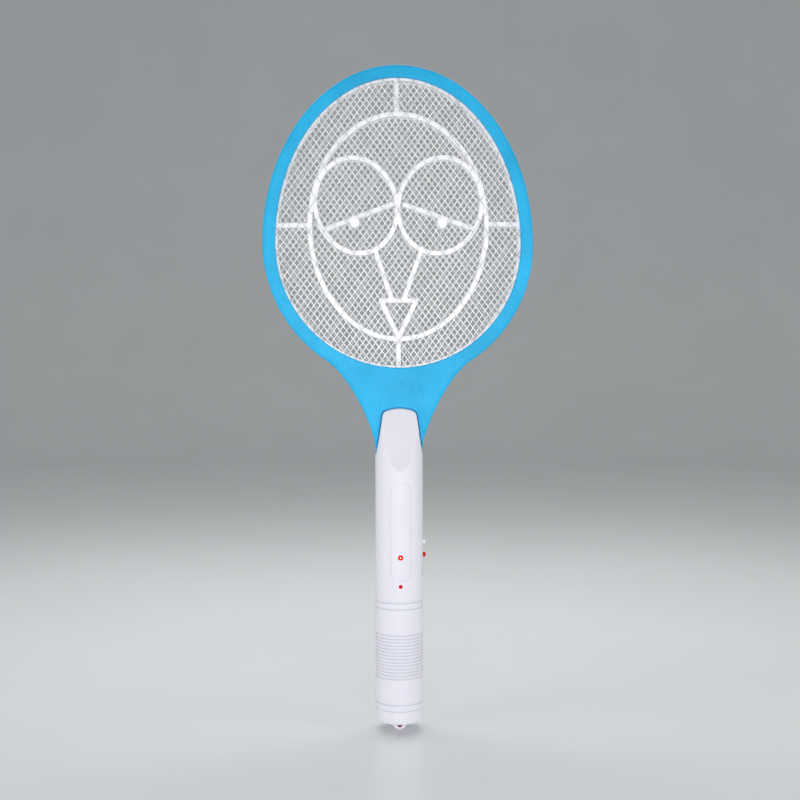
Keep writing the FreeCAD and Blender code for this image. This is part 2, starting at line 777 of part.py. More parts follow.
def handle_shell(side):
    """One half shell of the handle, with its tongue, scoop, screw posts and openings."""
    outwards = side == FRONT
    body = new_body(f"handle_{SIDE_NAME[side]}")
    outer = size("handle_radius")
    inner = outer - size("handle_wall")

    profile = sketch_on(body, "YZ_Plane", body.Name + "_profile")
    polygon(profile, [
        (inner * side, "handle_bottom"),
        (outer * side, "handle_bottom"),
        (outer * side, "tongue_top"),
        (0, "tongue_top"),
        (0, "cavity_top"),
        (inner * side, "cavity_top"),
    ])
    turn(body, profile, 180)

    slot = sketch_on(body, "YZ_Plane", body.Name + "_tang_slot")
    slot_half = (size("tang_half") + 0.15) * side
    rectangle(slot, 0, slot_half, size("cavity_top") - 0.5, size("shoulder_height") + 0.5)
    cut(body, slot, (size("tang_half_width") + 0.1) * 2, False, True)

    mouth = sketch_on(body, "YZ_Plane", body.Name + "_neck_mouth")
    mouth_half = (size("frame_half") + NECK_GAP) * side
    polygon(mouth, [
        (0, "shoulder_height"),
        ((size("neck_half") + NECK_GAP) * side, "shoulder_height"),
        (mouth_half, "neck_full"),
        (mouth_half, size("tongue_top") + 1.0),
        (0, size("tongue_top") + 1.0),
    ])
    cut(body, mouth, 60.0, False, True)

    taper = sketch_on(body, "XZ_Plane", body.Name + "_taper")
    top = size("tongue_top")
    right_side = [(x, top - drop) for x, drop in TONGUE_CROWN]
    right_side.append((size("tongue_half_width"), size("tongue_corner")))
    right_side.append((outer - size("shoulder_step"), size("shoulder_height")))
    left_side = [(-size(x), z) for x, z in reversed(right_side)]
    wide = size(30.0)
    over = top + 5.0
    corners = [(-wide, size("shoulder_height"))] + left_side + [(0, top)] + right_side
    corners.append((wide, size("shoulder_height")))
    polygon(taper, corners + [(wide, over), (-wide, over)])
    cut(body, taper, 25.0, outwards)

    scoop = sketch_on(body, "YZ_Plane", body.Name + "_scoop")
    top_face = (outer - size("scoop_top_depth")) * side
    over = size("tongue_top") + 1.5
    polygon(scoop, [
        ((outer + 1.0) * side, "scoop_start"),
        (outer * side, "scoop_start"),
        ((outer - size("scoop_break_depth")) * side, "scoop_break"),
        (top_face, "tongue_top"),
        (top_face, over),
        ((outer + 1.0) * side, over),
    ])
    cut(body, scoop, 60.0, False, True)

    post_x, post_z = HANDLE_SCREWS[0]
    post = sketch_on(body, "XZ_Plane", body.Name + "_post")
    circle(post, post_x, post_z, HANDLE_HEAD_RADIUS + 1.2)
    grow(body, post, inner + 0.8, outwards)

    first, count, pitch = CELL_RIBS
    rib = sketch_on(body, "YZ_Plane", body.Name + "_cell_rib")
    rib_inner = (size("cell_radius") + 0.15) * side
    rectangle(rib, rib_inner, (inner + 0.3) * side, first, first + CELL_RIB_WIDTH)
    repeat_up(body, turn(body, rib, 180), count, pitch)
    notch = sketch_on(body, "XY_Plane", body.Name + "_lead_notch", 30.0)
    low = -LEAD_NOTCH_X - LEAD_NOTCH_HALF
    rectangle(notch, low, low + 2 * LEAD_NOTCH_HALF, -LEAD_NOTCH_HALF, LEAD_NOTCH_HALF)
    cut(body, notch, 55.0, True)

    screw_holes = sketch_on(body, "XZ_Plane", body.Name + "_screw_holes")
    for x, z in HANDLE_SCREWS:
        circle(screw_holes, x, z, HANDLE_SCREW_RADIUS + (0.3 if side == REAR else 0.06))
    cut(body, screw_holes, 30.0 if side == REAR else HANDLE_SCREW_TIP, outwards)
    if side == REAR:
        seats = sketch_on(body, "XZ_Plane", body.Name + "_screw_seats", -size(HANDLE_SEAT))
        for x, z in HANDLE_SCREWS:
            circle(seats, x, z, HANDLE_HEAD_RADIUS + 0.2)
        cut(body, seats, 12.0)
    else:
        led_seat(body, "large_led", LARGE_LED_RADIUS, LARGE_LED_MOUTH, LARGE_LED_SHELF)
        led_seat(body, "small_led", SMALL_LED_RADIUS, SMALL_LED_MOUTH, SMALL_LED_SHELF)

    button_hole = sketch_on(body, "YZ_Plane", body.Name + "_button_hole")
    circle(button_hole, 0, "button_height", size("button_radius") + 0.2)
    cut(body, button_hole, 30.0, True)

    knob_slot = sketch_on(body, "YZ_Plane", body.Name + "_knob_slot")
    knob_low = size("knob_height") - size("knob_length") * 0.5 - 0.3
    knob_high = size("knob_height") + size("knob_length") * 0.5 + size("knob_travel") + 0.3
    rectangle(knob_slot, -KNOB_HALF_WIDTH - 0.2, KNOB_HALF_WIDTH + 0.2, knob_low, knob_high)
    cut(body, knob_slot, 30.0, True)

    recess = sketch_on(body, "YZ_Plane", body.Name + "_port_recess", outer - PORT_RECESS_DEPTH)
    low = size("socket_height") - PORT_RECESS_BELOW
    high = size("socket_height") + PORT_RECESS_ABOVE
    rectangle(recess, -PORT_RECESS_HALF_WIDTH, PORT_RECESS_HALF_WIDTH, low, high)
    cut(body, recess, 5.0, True)
    port = sketch_on(body, "YZ_Plane", body.Name + "_port")
    low = size("socket_height") - SOCKET_HALF_LENGTH - 0.25
    high = size("socket_height") + SOCKET_HALF_LENGTH + 0.25
    rectangle(port, size("board_face") - SOCKET_DEPTH - 0.25, size("board_face") + 0.25, low, high)
    cut(body, port, 30.0, True)

    groove_row(body, side, "grip_grooves", *GRIP_GROOVES)
    groove_row(body, side, "upper_grooves", *UPPER_GROOVES)
    groove_row(body, side, "lower_groove", *LOWER_GROOVE)
    return body


JEWEL_FOOT = 1.42
JEWEL_LENGTH = 3.0
JEWEL_CROWN = 3.7


def end_cap():
    """The round cap that closes the handle, with a spigot inside it and a lug below."""
    body = new_body("end_cap")
    outer = size("handle_radius") - 0.1
    spigot = size("handle_radius") - size("handle_wall") - 0.1
    hollow = spigot - 1.8
    profile = sketch_on(body, "XZ_Plane", "end_cap_profile")
    polygon(profile, [
        (0, "cap_bottom"),
        (outer, "cap_bottom"),
        (outer, size("handle_bottom") - 0.1),
        (spigot, size("handle_bottom") - 0.1),
        (spigot, "spigot_top"),
        (hollow, "spigot_top"),
        (hollow, size("cap_bottom") + 2.5),
        (0, size("cap_bottom") + 2.5),
    ])
    turned = turn(body, profile, 360)
    rim = outer.number
    foot = size("cap_bottom").number

    def on_bottom_rim(edge):
        return abs(middle_of(edge).z - foot) < 1e-3 and edge.BoundBox.XLength > rim

    round_edges(body, turned, "cap_corner", on_bottom_rim)
    lug = sketch_on(body, "XZ_Plane", "end_cap_lug")
    radius = size("lug_radius").number
    lug_top = foot + 1.0
    half_chord = math.sqrt(radius ** 2 - (lug_top - radius) ** 2)
    arc = Part.Arc(Vector(-half_chord, lug_top, 0), Vector(0, 0, 0), Vector(half_chord, lug_top, 0))
    fixed_loop(lug, [arc, Part.LineSegment(arc.EndPoint, arc.StartPoint)])
    grow(body, lug, size("lug_half") * 2, True, True)
    seat = sketch_on(body, "XZ_Plane", "end_cap_jewel_seat", JEWEL_FOOT - 0.02)
    circle(seat, 0, "jewel_height", size("jewel_radius") + 0.03)
    cut(body, seat, 5.0, True)
    return body


def cap_jewel():
    """The red jewel pressed into the lug's front face, with a domed front."""
    foot = (0, -JEWEL_FOOT, "jewel_height")
    barrel = cylinder("jewel_barrel", "jewel_radius", JEWEL_LENGTH, foot, Vector(0, -1, 0))
    dome = ball("jewel_dome_ball", JEWEL_CROWN, (0, 0, "jewel_height"))
    return common("cap_jewel", barrel, dome)


# ---- switches, lights, electronics ------------------------------------------------------------

def trigger_button():
    """The push button's cap: a domed face, a collar inside the wall and a stem."""
    face = size("button_face")
    height = size("button_height")
    collar_foot = size(13.3)
    pin = cylinder("button_pin", "button_radius", face - collar_foot, (collar_foot, 0, height), RIGHT)
    collar = cylinder("button_collar", size("button_radius") + 1.0, 1.0, (collar_foot, 0, height), RIGHT)
    return fuse("trigger_button", [pin, collar])


def switch_plunger():
    """The push switch's plunger, which moves with the button."""
    return cylinder("switch_plunger", 1.5, 5.25, (8.0, 0, "button_height"), RIGHT)


def trigger_switch():
    """The push switch's body on the circuit board's edge."""
    middle = size("button_height")
    back = size("board_face") - 0.05
    shell = box("trigger_switch_shell", 5.6, 10.2, -back, back, middle - 3.0, middle + 3.0)
    bore = cylinder("trigger_switch_bore", 1.6, 10.0, (6.6, 0, middle), RIGHT)
    return subtract("trigger_switch", shell, bore)


def switch_knob():
    """The slide switch's knob: a cap outside the wall on a flat shutter inside it."""
    middle = size("knob_height")
    half = size("knob_length") * 0.5
    low = middle - half
    high = middle + half
    cap = box("knob_cap", 14.2, "knob_face", -KNOB_HALF_WIDTH, KNOB_HALF_WIDTH, low, high)
    shutter = box("knob_shutter", 13.9, 14.8, -3.0, 3.0, low - 1.6, high + 1.6)
    blank = fuse("knob_blank", [cap, shutter])
    pocket = box("knob_pocket", 13.0, 16.6, -0.8, 0.8, middle - 0.8, middle + 0.8)
    return subtract("switch_knob", blank, pocket)


def switch_lever():
    """The slide switch's own lever, which sits in the knob's pocket."""
    middle = size("knob_height")
    return box("switch_lever", 10.6, 16.4, -0.75, 0.75, middle - 0.75, middle + 0.75)


def slide_switch():
    """The slide switch's metal can, with the lever's slot."""
    middle = size("knob_height") + size("knob_travel") * 0.5
    back = size("board_face") - 0.05
    can = box("slide_switch_can", 9.4, 13.2, -back, back, middle - 4.6, middle + 4.6)
    slot_half = size("knob_travel") * 0.5 + 0.95
    slot = box("slide_switch_slot", 10.4, 14.0, -0.9, 0.9, middle - slot_half, middle + slot_half)
    return subtract("slide_switch", can, slot)


def led(label, radius, height, length):
    """An indicator: a cylinder with a domed tip and a base rim."""
    foot = LED_TIP - length
    barrel = cylinder(label + "_barrel", radius, length - radius, (0, -foot, height), Vector(0, -1, 0))
    dome = ball(label + "_dome", radius, (0, -(LED_TIP - radius), height))
    rim = cylinder(label + "_rim", radius + 0.4, 0.9, (0, -foot, height), Vector(0, -1, 0))
    return fuse(label, [barrel, dome, rim])


def led_legs():
    """The two pins of each indicator, from its base back to the circuit board."""
    legs = []
    for name, length in (("large_led", LARGE_LED_LENGTH), ("small_led", SMALL_LED_LENGTH)):
        foot = LED_TIP - length
        leg_length = size("board_face") + foot - 0.04
        for letter, x in (("a", -LED_PIN_REACH), ("b", LED_PIN_REACH)):
            start = (x, -foot + 0.02, name + "_height")
            legs.append(cylinder(f"{name}_leg_{letter}", LED_PIN_RADIUS, leg_length, start, BACK))
    return group("led_legs", legs)


def circuit_board():
    half = size("board_half_width")
    face = size("board_face")
    return box("circuit_board", -half, half, face, face + size("board_sheet"), "board_bottom", "board_top")


def transformer():
    """The step-up transformer: a ferrite core of two E shapes round a wound bobbin."""
    back = size("board_face") - 0.02
    x_half = 7.0
    z_low = 148.0
    z_high = 162.0
    front = -8.8
    block = box("core_block", -x_half, x_half, front, back, z_low, z_high)
    left_window = box("core_left_window", -4.9, -1.9, front - 1.0, back + 1.0, z_low + 2.2, z_high - 2.2)
    right_window = box("core_right_window", 1.9, 4.9, front - 1.0, back + 1.0, z_low + 2.2, z_high - 2.2)
    core = subtract("transformer_core", block, fuse("core_windows", [left_window, right_window]))
    coil = box("winding_block", -4.8, 4.8, front - 1.6, front - 0.05, z_low + 2.4, z_high - 2.4)
    left_side = box("winding_left", -4.8, -2.0, front - 0.5, back - 0.5, z_low + 2.4, z_high - 2.4)
    right_side = box("winding_right", 2.0, 4.8, front - 0.5, back - 0.5, z_low + 2.4, z_high - 2.4)
    winding = fuse("transformer_winding", [coil, left_side, right_side])
    return [core, winding]


# Round parts on the board: (radius, length, centre line's y), then the place of each one's foot.
DISC_CAPACITOR = (2.9, 1.8, -1.2)
DISC_CAPACITOR_FEET = ((-8.9, 109.5), (-8.9, 112.5), (-8.9, 115.5))
DIODE = (1.3, 5.2, 0.6)
DIODE_FEET = ((-10.7, 121.0), (-7.7, 121.0), (-4.7, 121.0))
RESISTOR = (0.9, 2.4, 1.2)
RESISTOR_FEET = ((4.6, 106.0), (3.0, 119.0), (3.0, 122.6), (3.0, 126.2))


def round_parts(label, form, feet, direction):
    """Equal cylinders that lie on the board."""
    radius, length, y = form
    items = []
    for number, (x, z) in enumerate(feet, start=1):
        items.append(cylinder(f"{label}_{number}", radius, length, (x, y, z), direction))
    return group(label, items)


def board_parts():
    """The other parts that stand on the board's front face."""
    face = size("board_face") - 0.02
    return [
        box("hv_capacitor", -11.5, 3.5, -6.3, face, 134.5, 145.0),
        round_parts("disc_capacitors", DISC_CAPACITOR, DISC_CAPACITOR_FEET, UP),
        round_parts("diodes", DIODE, DIODE_FEET, UP),
        round_parts("resistors", RESISTOR, RESISTOR_FEET, RIGHT),
        box("transistor", -11.0, -6.4, -2.4, face, 128.6, 132.4),
    ]


def charging_socket():
    """The charging socket's metal shell and the tongue inside its mouth."""
    middle = size("socket_height")
    high = size("board_face") - 0.02
    low = size("board_face") - SOCKET_DEPTH
    end = SOCKET_HALF_LENGTH
    inner_end = end - SOCKET_SHEET
    face = size("socket_mouth")
    shell = box("socket_block", SOCKET_BACK, face, low, high, middle - end, middle + end)
    mouth = box("socket_mouth_hollow", SOCKET_BACK + 0.6, face + 1.0, low + SOCKET_SHEET, high - SOCKET_SHEET,
                middle - inner_end, middle + inner_end)
    tongue = box("socket_tongue", SOCKET_BACK + 0.65, face - 1.6, low + 1.0, low + 1.7,
                 middle - SOCKET_TONGUE_HALF, middle + SOCKET_TONGUE_HALF)
    return [subtract("charging_socket", shell, mouth), tongue]


def battery():
    """The cell and the two tabs welded to its ends."""
    cell = cylinder("battery_cell", "cell_radius", "cell_length", (0, 0, "cell_bottom"))
    cell_top = size("cell_bottom") + size("cell_length")
    top_tab = box("top_tab", -3.5, 6.5, -3.0, 3.0, cell_top + 0.03, cell_top + 0.28)
    low = size("cell_bottom") - 0.28
    bottom_tab = box("bottom_tab", -12.9, 3.5, -2.2, 2.2, low, size("cell_bottom") - 0.03)
    return [cell, group("battery_tabs", [top_tab, bottom_tab])]


def leads():
    """The four insulated leads, each whole from end to end."""
    radius = size("lead_radius").number
    lead_y = size("board_face").number - radius - 0.05
    cell_top = size("cell_bottom").number + size("cell_length").number + 0.3
    cell_foot = size("cell_bottom").number
    red = wire_tube("battery_lead_red", [
        (5.5, 0, cell_top), (5.5, 0, 93.4), (8.6, lead_y, 98.0), (8.6, lead_y, 103.5),
    ], "lead_radius")
    black = wire_tube("battery_lead_black", [
        (-12.4, 0, cell_foot), (-12.4, 0, 60.0), (-12.35, 0.2, 92.0),
        (-9.5, lead_y, 99.0), (-9.5, lead_y, 105.0),
    ], "lead_radius")
    chamber = size("chamber_bottom").number
    live = wire_tube("live_mesh_lead", [
        (-1.5, lead_y, 164.0), (-1.5, lead_y, 169.0), (-1.2, 0, 177.0), (-1.6, 0.2, 208.0),
        (-1.2, 0, chamber + 1.5), (-7.0, -1.1, chamber + 5.5), (-7.0, -1.1, chamber + 12.0),
    ], "lead_radius")
    guard = wire_tube("guard_mesh_lead", [
        (1.5, lead_y, 164.0), (1.5, lead_y, 169.0), (1.2, 0, 177.0), (1.6, -0.2, 208.0),
        (1.2, 0, chamber + 1.5), (7.0, 0, chamber + 4.0), (7.0, 0, chamber + 6.45),
    ], "lead_radius")
    return [red, black, live, guard]


def build():
    """Every sub-part, in the order of the bench: head, handle, controls, inside."""
    guard_middle = size("guard_near").number + size("mesh_sheet").number / 2
    parts = [
        frame_half(FRONT),
        frame_half(REAR),
        mesh_sheet("front_mesh", -guard_middle, "guard_pitch_x", "guard_pitch_z", 7.0),
        mesh_sheet("centre_mesh", 0.0, "live_pitch_x", "live_pitch_z", -7.0),
        mesh_sheet("rear_mesh", guard_middle, "guard_pitch_x", "guard_pitch_z", 7.0),
        spacer(FRONT),
        spacer(REAR),
        guard_bridge(),
        frame_screws(),
        handle_shell(FRONT),
        handle_shell(REAR),
        handle_screws(),
        end_cap(),
        cap_jewel(),
        trigger_button(),
        switch_plunger(),
        trigger_switch(),
        switch_knob(),
        switch_lever(),
        slide_switch(),
        led("led_large", LARGE_LED_RADIUS, "large_led_height", LARGE_LED_LENGTH),
        led("led_small", SMALL_LED_RADIUS, "small_led_height", SMALL_LED_LENGTH),
        led_legs(),
        circuit_board(),
    ]
    return parts + transformer() + board_parts() + charging_socket() + battery() + leads()


def check_and_write(parts):
    """Stop on any failed object or bad shape, then write one STEP file for each sub-part."""
    doc.recompute()
    for item in doc.Objects:
        for state in item.State:
            if state in ("Invalid", "Error"):
                raise RuntimeError(f"{item.Label} is {state}")
    for part in parts:
        shape = part.Shape
        if shape.isNull() or not shape.isValid() or not shape.Solids:
            raise RuntimeError(f"{part.Label} has a bad shape")
    os.makedirs("parts", exist_ok=True)
    for part in parts:
        part.Shape.exportStep(f"parts/{part.Label}.step")
        print(f"{part.Label}: {len(part.Shape.Solids)} solid(s), {part.Shape.Volume:.1f} mm3")


doc = FreeCAD.newDocument("fly_swatter")
dims = doc.addObject("Spreadsheet::Sheet", "dims")
write_sheet()
check_and_write(build())
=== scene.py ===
import json
import math

import bmesh
import bpy
from mathutils import Matrix, Vector


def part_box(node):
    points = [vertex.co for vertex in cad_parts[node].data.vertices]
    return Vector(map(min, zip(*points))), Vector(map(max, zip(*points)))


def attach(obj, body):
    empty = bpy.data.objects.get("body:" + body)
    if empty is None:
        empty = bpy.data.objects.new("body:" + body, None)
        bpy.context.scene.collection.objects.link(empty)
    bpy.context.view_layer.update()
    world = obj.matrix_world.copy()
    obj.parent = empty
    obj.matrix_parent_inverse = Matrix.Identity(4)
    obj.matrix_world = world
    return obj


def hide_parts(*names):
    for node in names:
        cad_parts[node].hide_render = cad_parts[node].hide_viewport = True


# Electric fly swatter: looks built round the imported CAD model. Sizes below are in millimetres.
MM = 0.001
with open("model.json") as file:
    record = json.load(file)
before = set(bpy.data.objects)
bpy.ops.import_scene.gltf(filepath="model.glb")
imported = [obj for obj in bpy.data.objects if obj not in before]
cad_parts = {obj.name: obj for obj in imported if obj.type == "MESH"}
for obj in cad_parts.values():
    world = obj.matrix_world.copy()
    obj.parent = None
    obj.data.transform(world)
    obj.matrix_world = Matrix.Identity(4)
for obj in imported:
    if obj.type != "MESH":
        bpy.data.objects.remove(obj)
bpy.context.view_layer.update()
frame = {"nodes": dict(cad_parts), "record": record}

FRONT = -1
REAR = 1
SIDE_WORD = {FRONT: "front", REAR: "rear"}
HEAD_Z = 358.0
# Egg outlines as (half width, rise, drop) from the head's widest line.
HEAD = (99.6, 130.8, 102.0)
OPENING = (90.4, 121.5, 91.6)
SHEET = (93.65, 124.75, 94.85)
RING = (88.9, 120.0, 90.1)
SCREW_LINE = (96.75, 127.9, 98.55)
# The neck leaves the head's outline at this distance from the middle.
NECK_JUNCTION = 53.5
NECK_HALF_WIDTH = 16.8
NECK_FOOT = 203.2
FRAME_HALF = 8.0
SEAT_DEPTH = 5.0
FRAME_EDGE = 2.5
OPENING_EDGE = 0.8
HANDLE_RADIUS = 17.5
CAVITY_RADIUS = 15.5
HANDLE_FOOT = 16.9
SHOULDER = 203.0
TONGUE_TOP = 236.5
TONGUE_FOOT = 16.9
TANG_HALF = 4.9
FRAME_SCREWS = [(-20.0, 250.0), (20.0, 250.0)]
for degrees in (18, 62, 118, 162, 208, 332):
    sine = math.sin(math.radians(degrees))
    reach = SCREW_LINE[1 if sine > 0 else 2]
    FRAME_SCREWS.append((SCREW_LINE[0] * math.cos(math.radians(degrees)), HEAD_Z + reach * sine))
HANDLE_SCREWS = [(0.0, 96.0), (-7.0, 194.0), (7.0, 194.0)]
# Heights of the controls, and where the lenses' backs stand.
BUTTON_Z = 128.4
KNOB_Z = 138.0
KNOB_TRAVEL = 3.0
LARGE_LED = (0.0, -9.3, 128.5)
LARGE_LED_RADIUS = 2.5
SMALL_LED = (0.0, -12.6, 107.6)
SMALL_LED_RADIUS = 1.5
JEWEL = (0.0, -1.42, 3.4)
JEWEL_RADIUS = 1.8


# ---- mesh helpers ----

def link(name, mesh):
    item = bpy.data.objects.new(name, mesh)
    bpy.context.scene.collection.objects.link(item)
    return item


def solid(name, points, faces):
    """A closed mesh object from points in millimetres, with its normals outwards."""
    mesh = bpy.data.meshes.new(name)
    mesh.from_pydata([(x * MM, y * MM, z * MM) for x, y, z in points], [], faces)
    work = bmesh.new()
    work.from_mesh(mesh)
    bmesh.ops.remove_doubles(work, verts=work.verts, dist=1e-7)
    bmesh.ops.recalc_face_normals(work, faces=work.faces)
    work.to_mesh(mesh)
    work.free()
    return link(name, mesh)


def skin(loops, wrap=False):
    """Points and faces of the skin through loops of equal length."""
    count = len(loops[0])
    rows = len(loops)
    faces = []
    for row in range(rows if wrap else rows - 1):
        below = row * count
        above = (row + 1) % rows * count
        for column in range(count):
            following = (column + 1) % count
            faces.append((below + column, below + following, above + following, above + column))
    return [point for loop in loops for point in loop], faces


def loft(name, loops, wrap=False, lid=True):
    """A skin joined end to end, or closed by a face at its start and, with a lid, at its end."""
    points, faces = skin(loops, wrap)
    count = len(loops[0])
    if not wrap:
        faces.append(tuple(range(count)))
        if lid:
            faces.append(tuple(range(len(points) - count, len(points))))
    return solid(name, points, faces)


def ring_points(radius, count):
    return [(radius * math.cos(2 * math.pi * k / count), radius * math.sin(2 * math.pi * k / count))
            for k in range(count)]


def turned(name, profile, place, axis, count):
    """A turned solid from (distance along the axis, radius) pairs; axis is X, Y or Z."""
    loops = []
    for along, radius in profile:
        loop = []
        for first, second in ring_points(radius, count):
            point = [first, second]
            point.insert("XYZ".index(axis), along)
            loop.append(tuple(base + part for base, part in zip(place, point)))
        loops.append(loop)
    return loft(name, loops)


def block(name, x_span, y_span, z_span):
    """A box, to cut with or to add."""
    left, right = x_span
    near, far = y_span
    corners = ((left, near), (right, near), (right, far), (left, far))
    return loft(name, [[(x, y, z) for x, y in corners] for z in z_span])


def bake(item):
    """Put the modifiers' result into the mesh."""
    bpy.context.view_layer.update()
    graph = bpy.context.evaluated_depsgraph_get()
    mesh = bpy.data.meshes.new_from_object(item.evaluated_get(graph))
    item.modifiers.clear()
    item.data = mesh
    return item


def boolean(item, tools, operation="DIFFERENCE"):
    """Cut the tools from an item, or add them to it."""
    for tool in tools:
        modifier = item.modifiers.new(tool.name, "BOOLEAN")
        modifier.operation = operation
        modifier.solver = "EXACT"
        modifier.object = tool
    bake(item)
    for tool in tools:
        bpy.data.objects.remove(tool)
    return item


def join(name, items):
    """One object from several, each a closed solid of its own."""
    work = bmesh.new()
    for item in items:
        work.from_mesh(item.data)
        bpy.data.objects.remove(item)
    mesh = bpy.data.meshes.new(name)
    work.to_mesh(mesh)
    work.free()
    return link(name, mesh)


def shade(item, limit=35.0):
    """Smooth shading, with sharp edges where two faces meet at more than the limit."""
    work = bmesh.new()
    work.from_mesh(item.data)
    bmesh.ops.remove_doubles(work, verts=work.verts, dist=2e-7)
    bmesh.ops.dissolve_degenerate(work, edges=work.edges, dist=2e-7)
    for face in work.faces:
        face.smooth = True
    for edge in work.edges:
        edge.smooth = len(edge.link_faces) == 2 and edge.calc_face_angle(0.0) < math.radians(limit)
    work.to_mesh(item.data)
    work.free()
    return item


def quarter(count, full):
    """Cosine and sine at some steps of a quarter turn that takes the full number of steps."""
    turns = [math.pi / 2 * step / full for step in range(count)]
    return [(math.cos(turn), math.sin(turn)) for turn in turns]


def heading(path, index, closed=False):
    """Direction of a path of (x, z) places at one of them."""
    before = path[index - 1] if closed or index else path[0]
    after = path[(index + 1) % len(path)] if closed or index < len(path) - 1 else path[-1]
    return (Vector(after) - Vector(before)).normalized()


def mirrored(path):
    """A path on the other side of the middle, in the opposite order."""
    return [Vector((-place.x, place.y)) for place in reversed(path)]


def rounded_outline(half_x, half_y, corner, centre):
    """Closed outline of a rectangle with rounded corners, as pairs."""
    pairs = []
    for sign_x, sign_y, start in ((1, 1, 0), (-1, 1, 90), (-1, -1, 180), (1, -1, 270)):
        for step in range(7):
            turn = math.radians(start + 15 * step)
            pairs.append((centre[0] + sign_x * (half_x - corner) + corner * math.cos(turn),
                          centre[1] + sign_y * (half_y - corner) + corner * math.sin(turn)))
    return pairs


def smooth_min(first, second, width):
    """The smaller of two values, with their crossing rounded over this width."""
    blend = max(width - abs(first - second), 0.0) / width
    return min(first, second) - blend * blend * width / 4


def smooth_step(value):
    value = min(max(value, 0.0), 1.0)
    return value * value * (3 - 2 * value)


# ---- outlines ----

def egg_point(sizes, angle, grown=0.0):
    """Where the ray at this angle meets an egg outline, moved out along the outline's normal."""
    width, rise, drop = sizes
    height = rise if math.sin(angle) >= 0 else drop
    distance = 1 / math.hypot(math.cos(angle) / width, math.sin(angle) / height)
    x = distance * math.cos(angle)
    z = distance * math.sin(angle)
    normal = Vector((x / width ** 2, z / height ** 2)).normalized()
    return x + normal.x * grown, HEAD_Z + z + normal.y * grown


def bezier(poles, t):
    a, b, c, d = (Vector(pole) for pole in poles)
    return a * (1 - t) ** 3 + b * (3 * t * (1 - t) ** 2) + c * (3 * t * t * (1 - t)) + d * t ** 3


def head_columns():
    """Points round the head and neck, anticlockwise from the neck's right foot, with outward normals."""
    width, rise, drop = HEAD
    fall = math.sqrt(1 - (NECK_JUNCTION / width) ** 2)
    top = Vector((NECK_JUNCTION, HEAD_Z - drop * fall))
    along = Vector((-width * fall, -drop * NECK_JUNCTION / width)).normalized()
    foot = Vector((NECK_HALF_WIDTH, NECK_FOOT))
    poles = (foot, foot + Vector((0, 18.7)), top + along * 20.0, top)
    right = [tuple(bezier(poles, step / 40)) for step in range(40)]
    start = math.asin(NECK_JUNCTION / width)
    for step in range(46):
        angle = start + (math.pi / 2 - start) * step / 46
        right.append((width * math.sin(angle), HEAD_Z - drop * math.cos(angle)))
    for step in range(72):
        angle = math.pi / 2 * step / 72
        right.append((width * math.cos(angle), HEAD_Z + rise * math.sin(angle)))
    apex = [(0.0, HEAD_Z + rise)]
    left = [(-x, z) for x, z in reversed(right)]
    sides = right + apex + left
    columns = []
    for index, (x, z) in enumerate(sides):
        run = heading(sides, index)
        columns.append((x, z, run.y, -run.x))
    columns[0] = (*sides[0], 1.0, 0.0)
    columns[-1] = (*sides[-1], -1.0, 0.0)
    for step in range(9):
        columns.append((-13.0 + 26.0 * step / 8, NECK_FOOT, 0.0, 0.0))
    return columns


def neck_depth(z):
    """Half thickness of the frame at this height: the neck thins towards the handle."""
    return smooth_min(5.0 + (z - SHOULDER) / 6, FRAME_HALF, 0.3)


def tongue_path():
    """The tongue's edge from its right foot to the middle of its right corner, and on to the left one."""
    foot = Vector((TONGUE_FOOT, SHOULDER))
    start = Vector((12.42, 231.5))
    end = Vector((8.4, TONGUE_TOP - 1.3))
    rise = (start - foot).normalized()
    poles = (start, start + rise * 2.0, end + Vector((2.4, -0.74)), end)
    side = [foot.lerp(start, k / 30) for k in range(30)] + [bezier(poles, k / 12) for k in range(7)]
    crown = [bezier(poles, k / 12) for k in range(6, 13)]
    crown += [Vector((8.4 - 8.4 * k / 8, TONGUE_TOP - 1.3 * (1 - k / 8) ** 2)) for k in range(1, 9)]
    return side, crown + mirrored(crown[:-1])


def tongue_gap(side):
    """Cutter for the narrow gap that the frame leaves round the handle's tongue."""
    side_path, crown = tongue_path()
    path = side_path[3:] + crown[1:] + mirrored(side_path[3:-1])
    sections = []
    for index, place in enumerate(path):
        run = heading(path, index)
        face = neck_depth(place.y)
        corners = ((-0.15, face - 3.4), (0.85, face - 3.4), (0.95, face + 1.0), (-0.15, face + 1.0))
        sections.append([(place.x + run.y * offset, side * depth, place.y - run.x * offset)
                         for offset, depth in corners])
    return loft("tongue_gap", sections)


# ---- frame ----

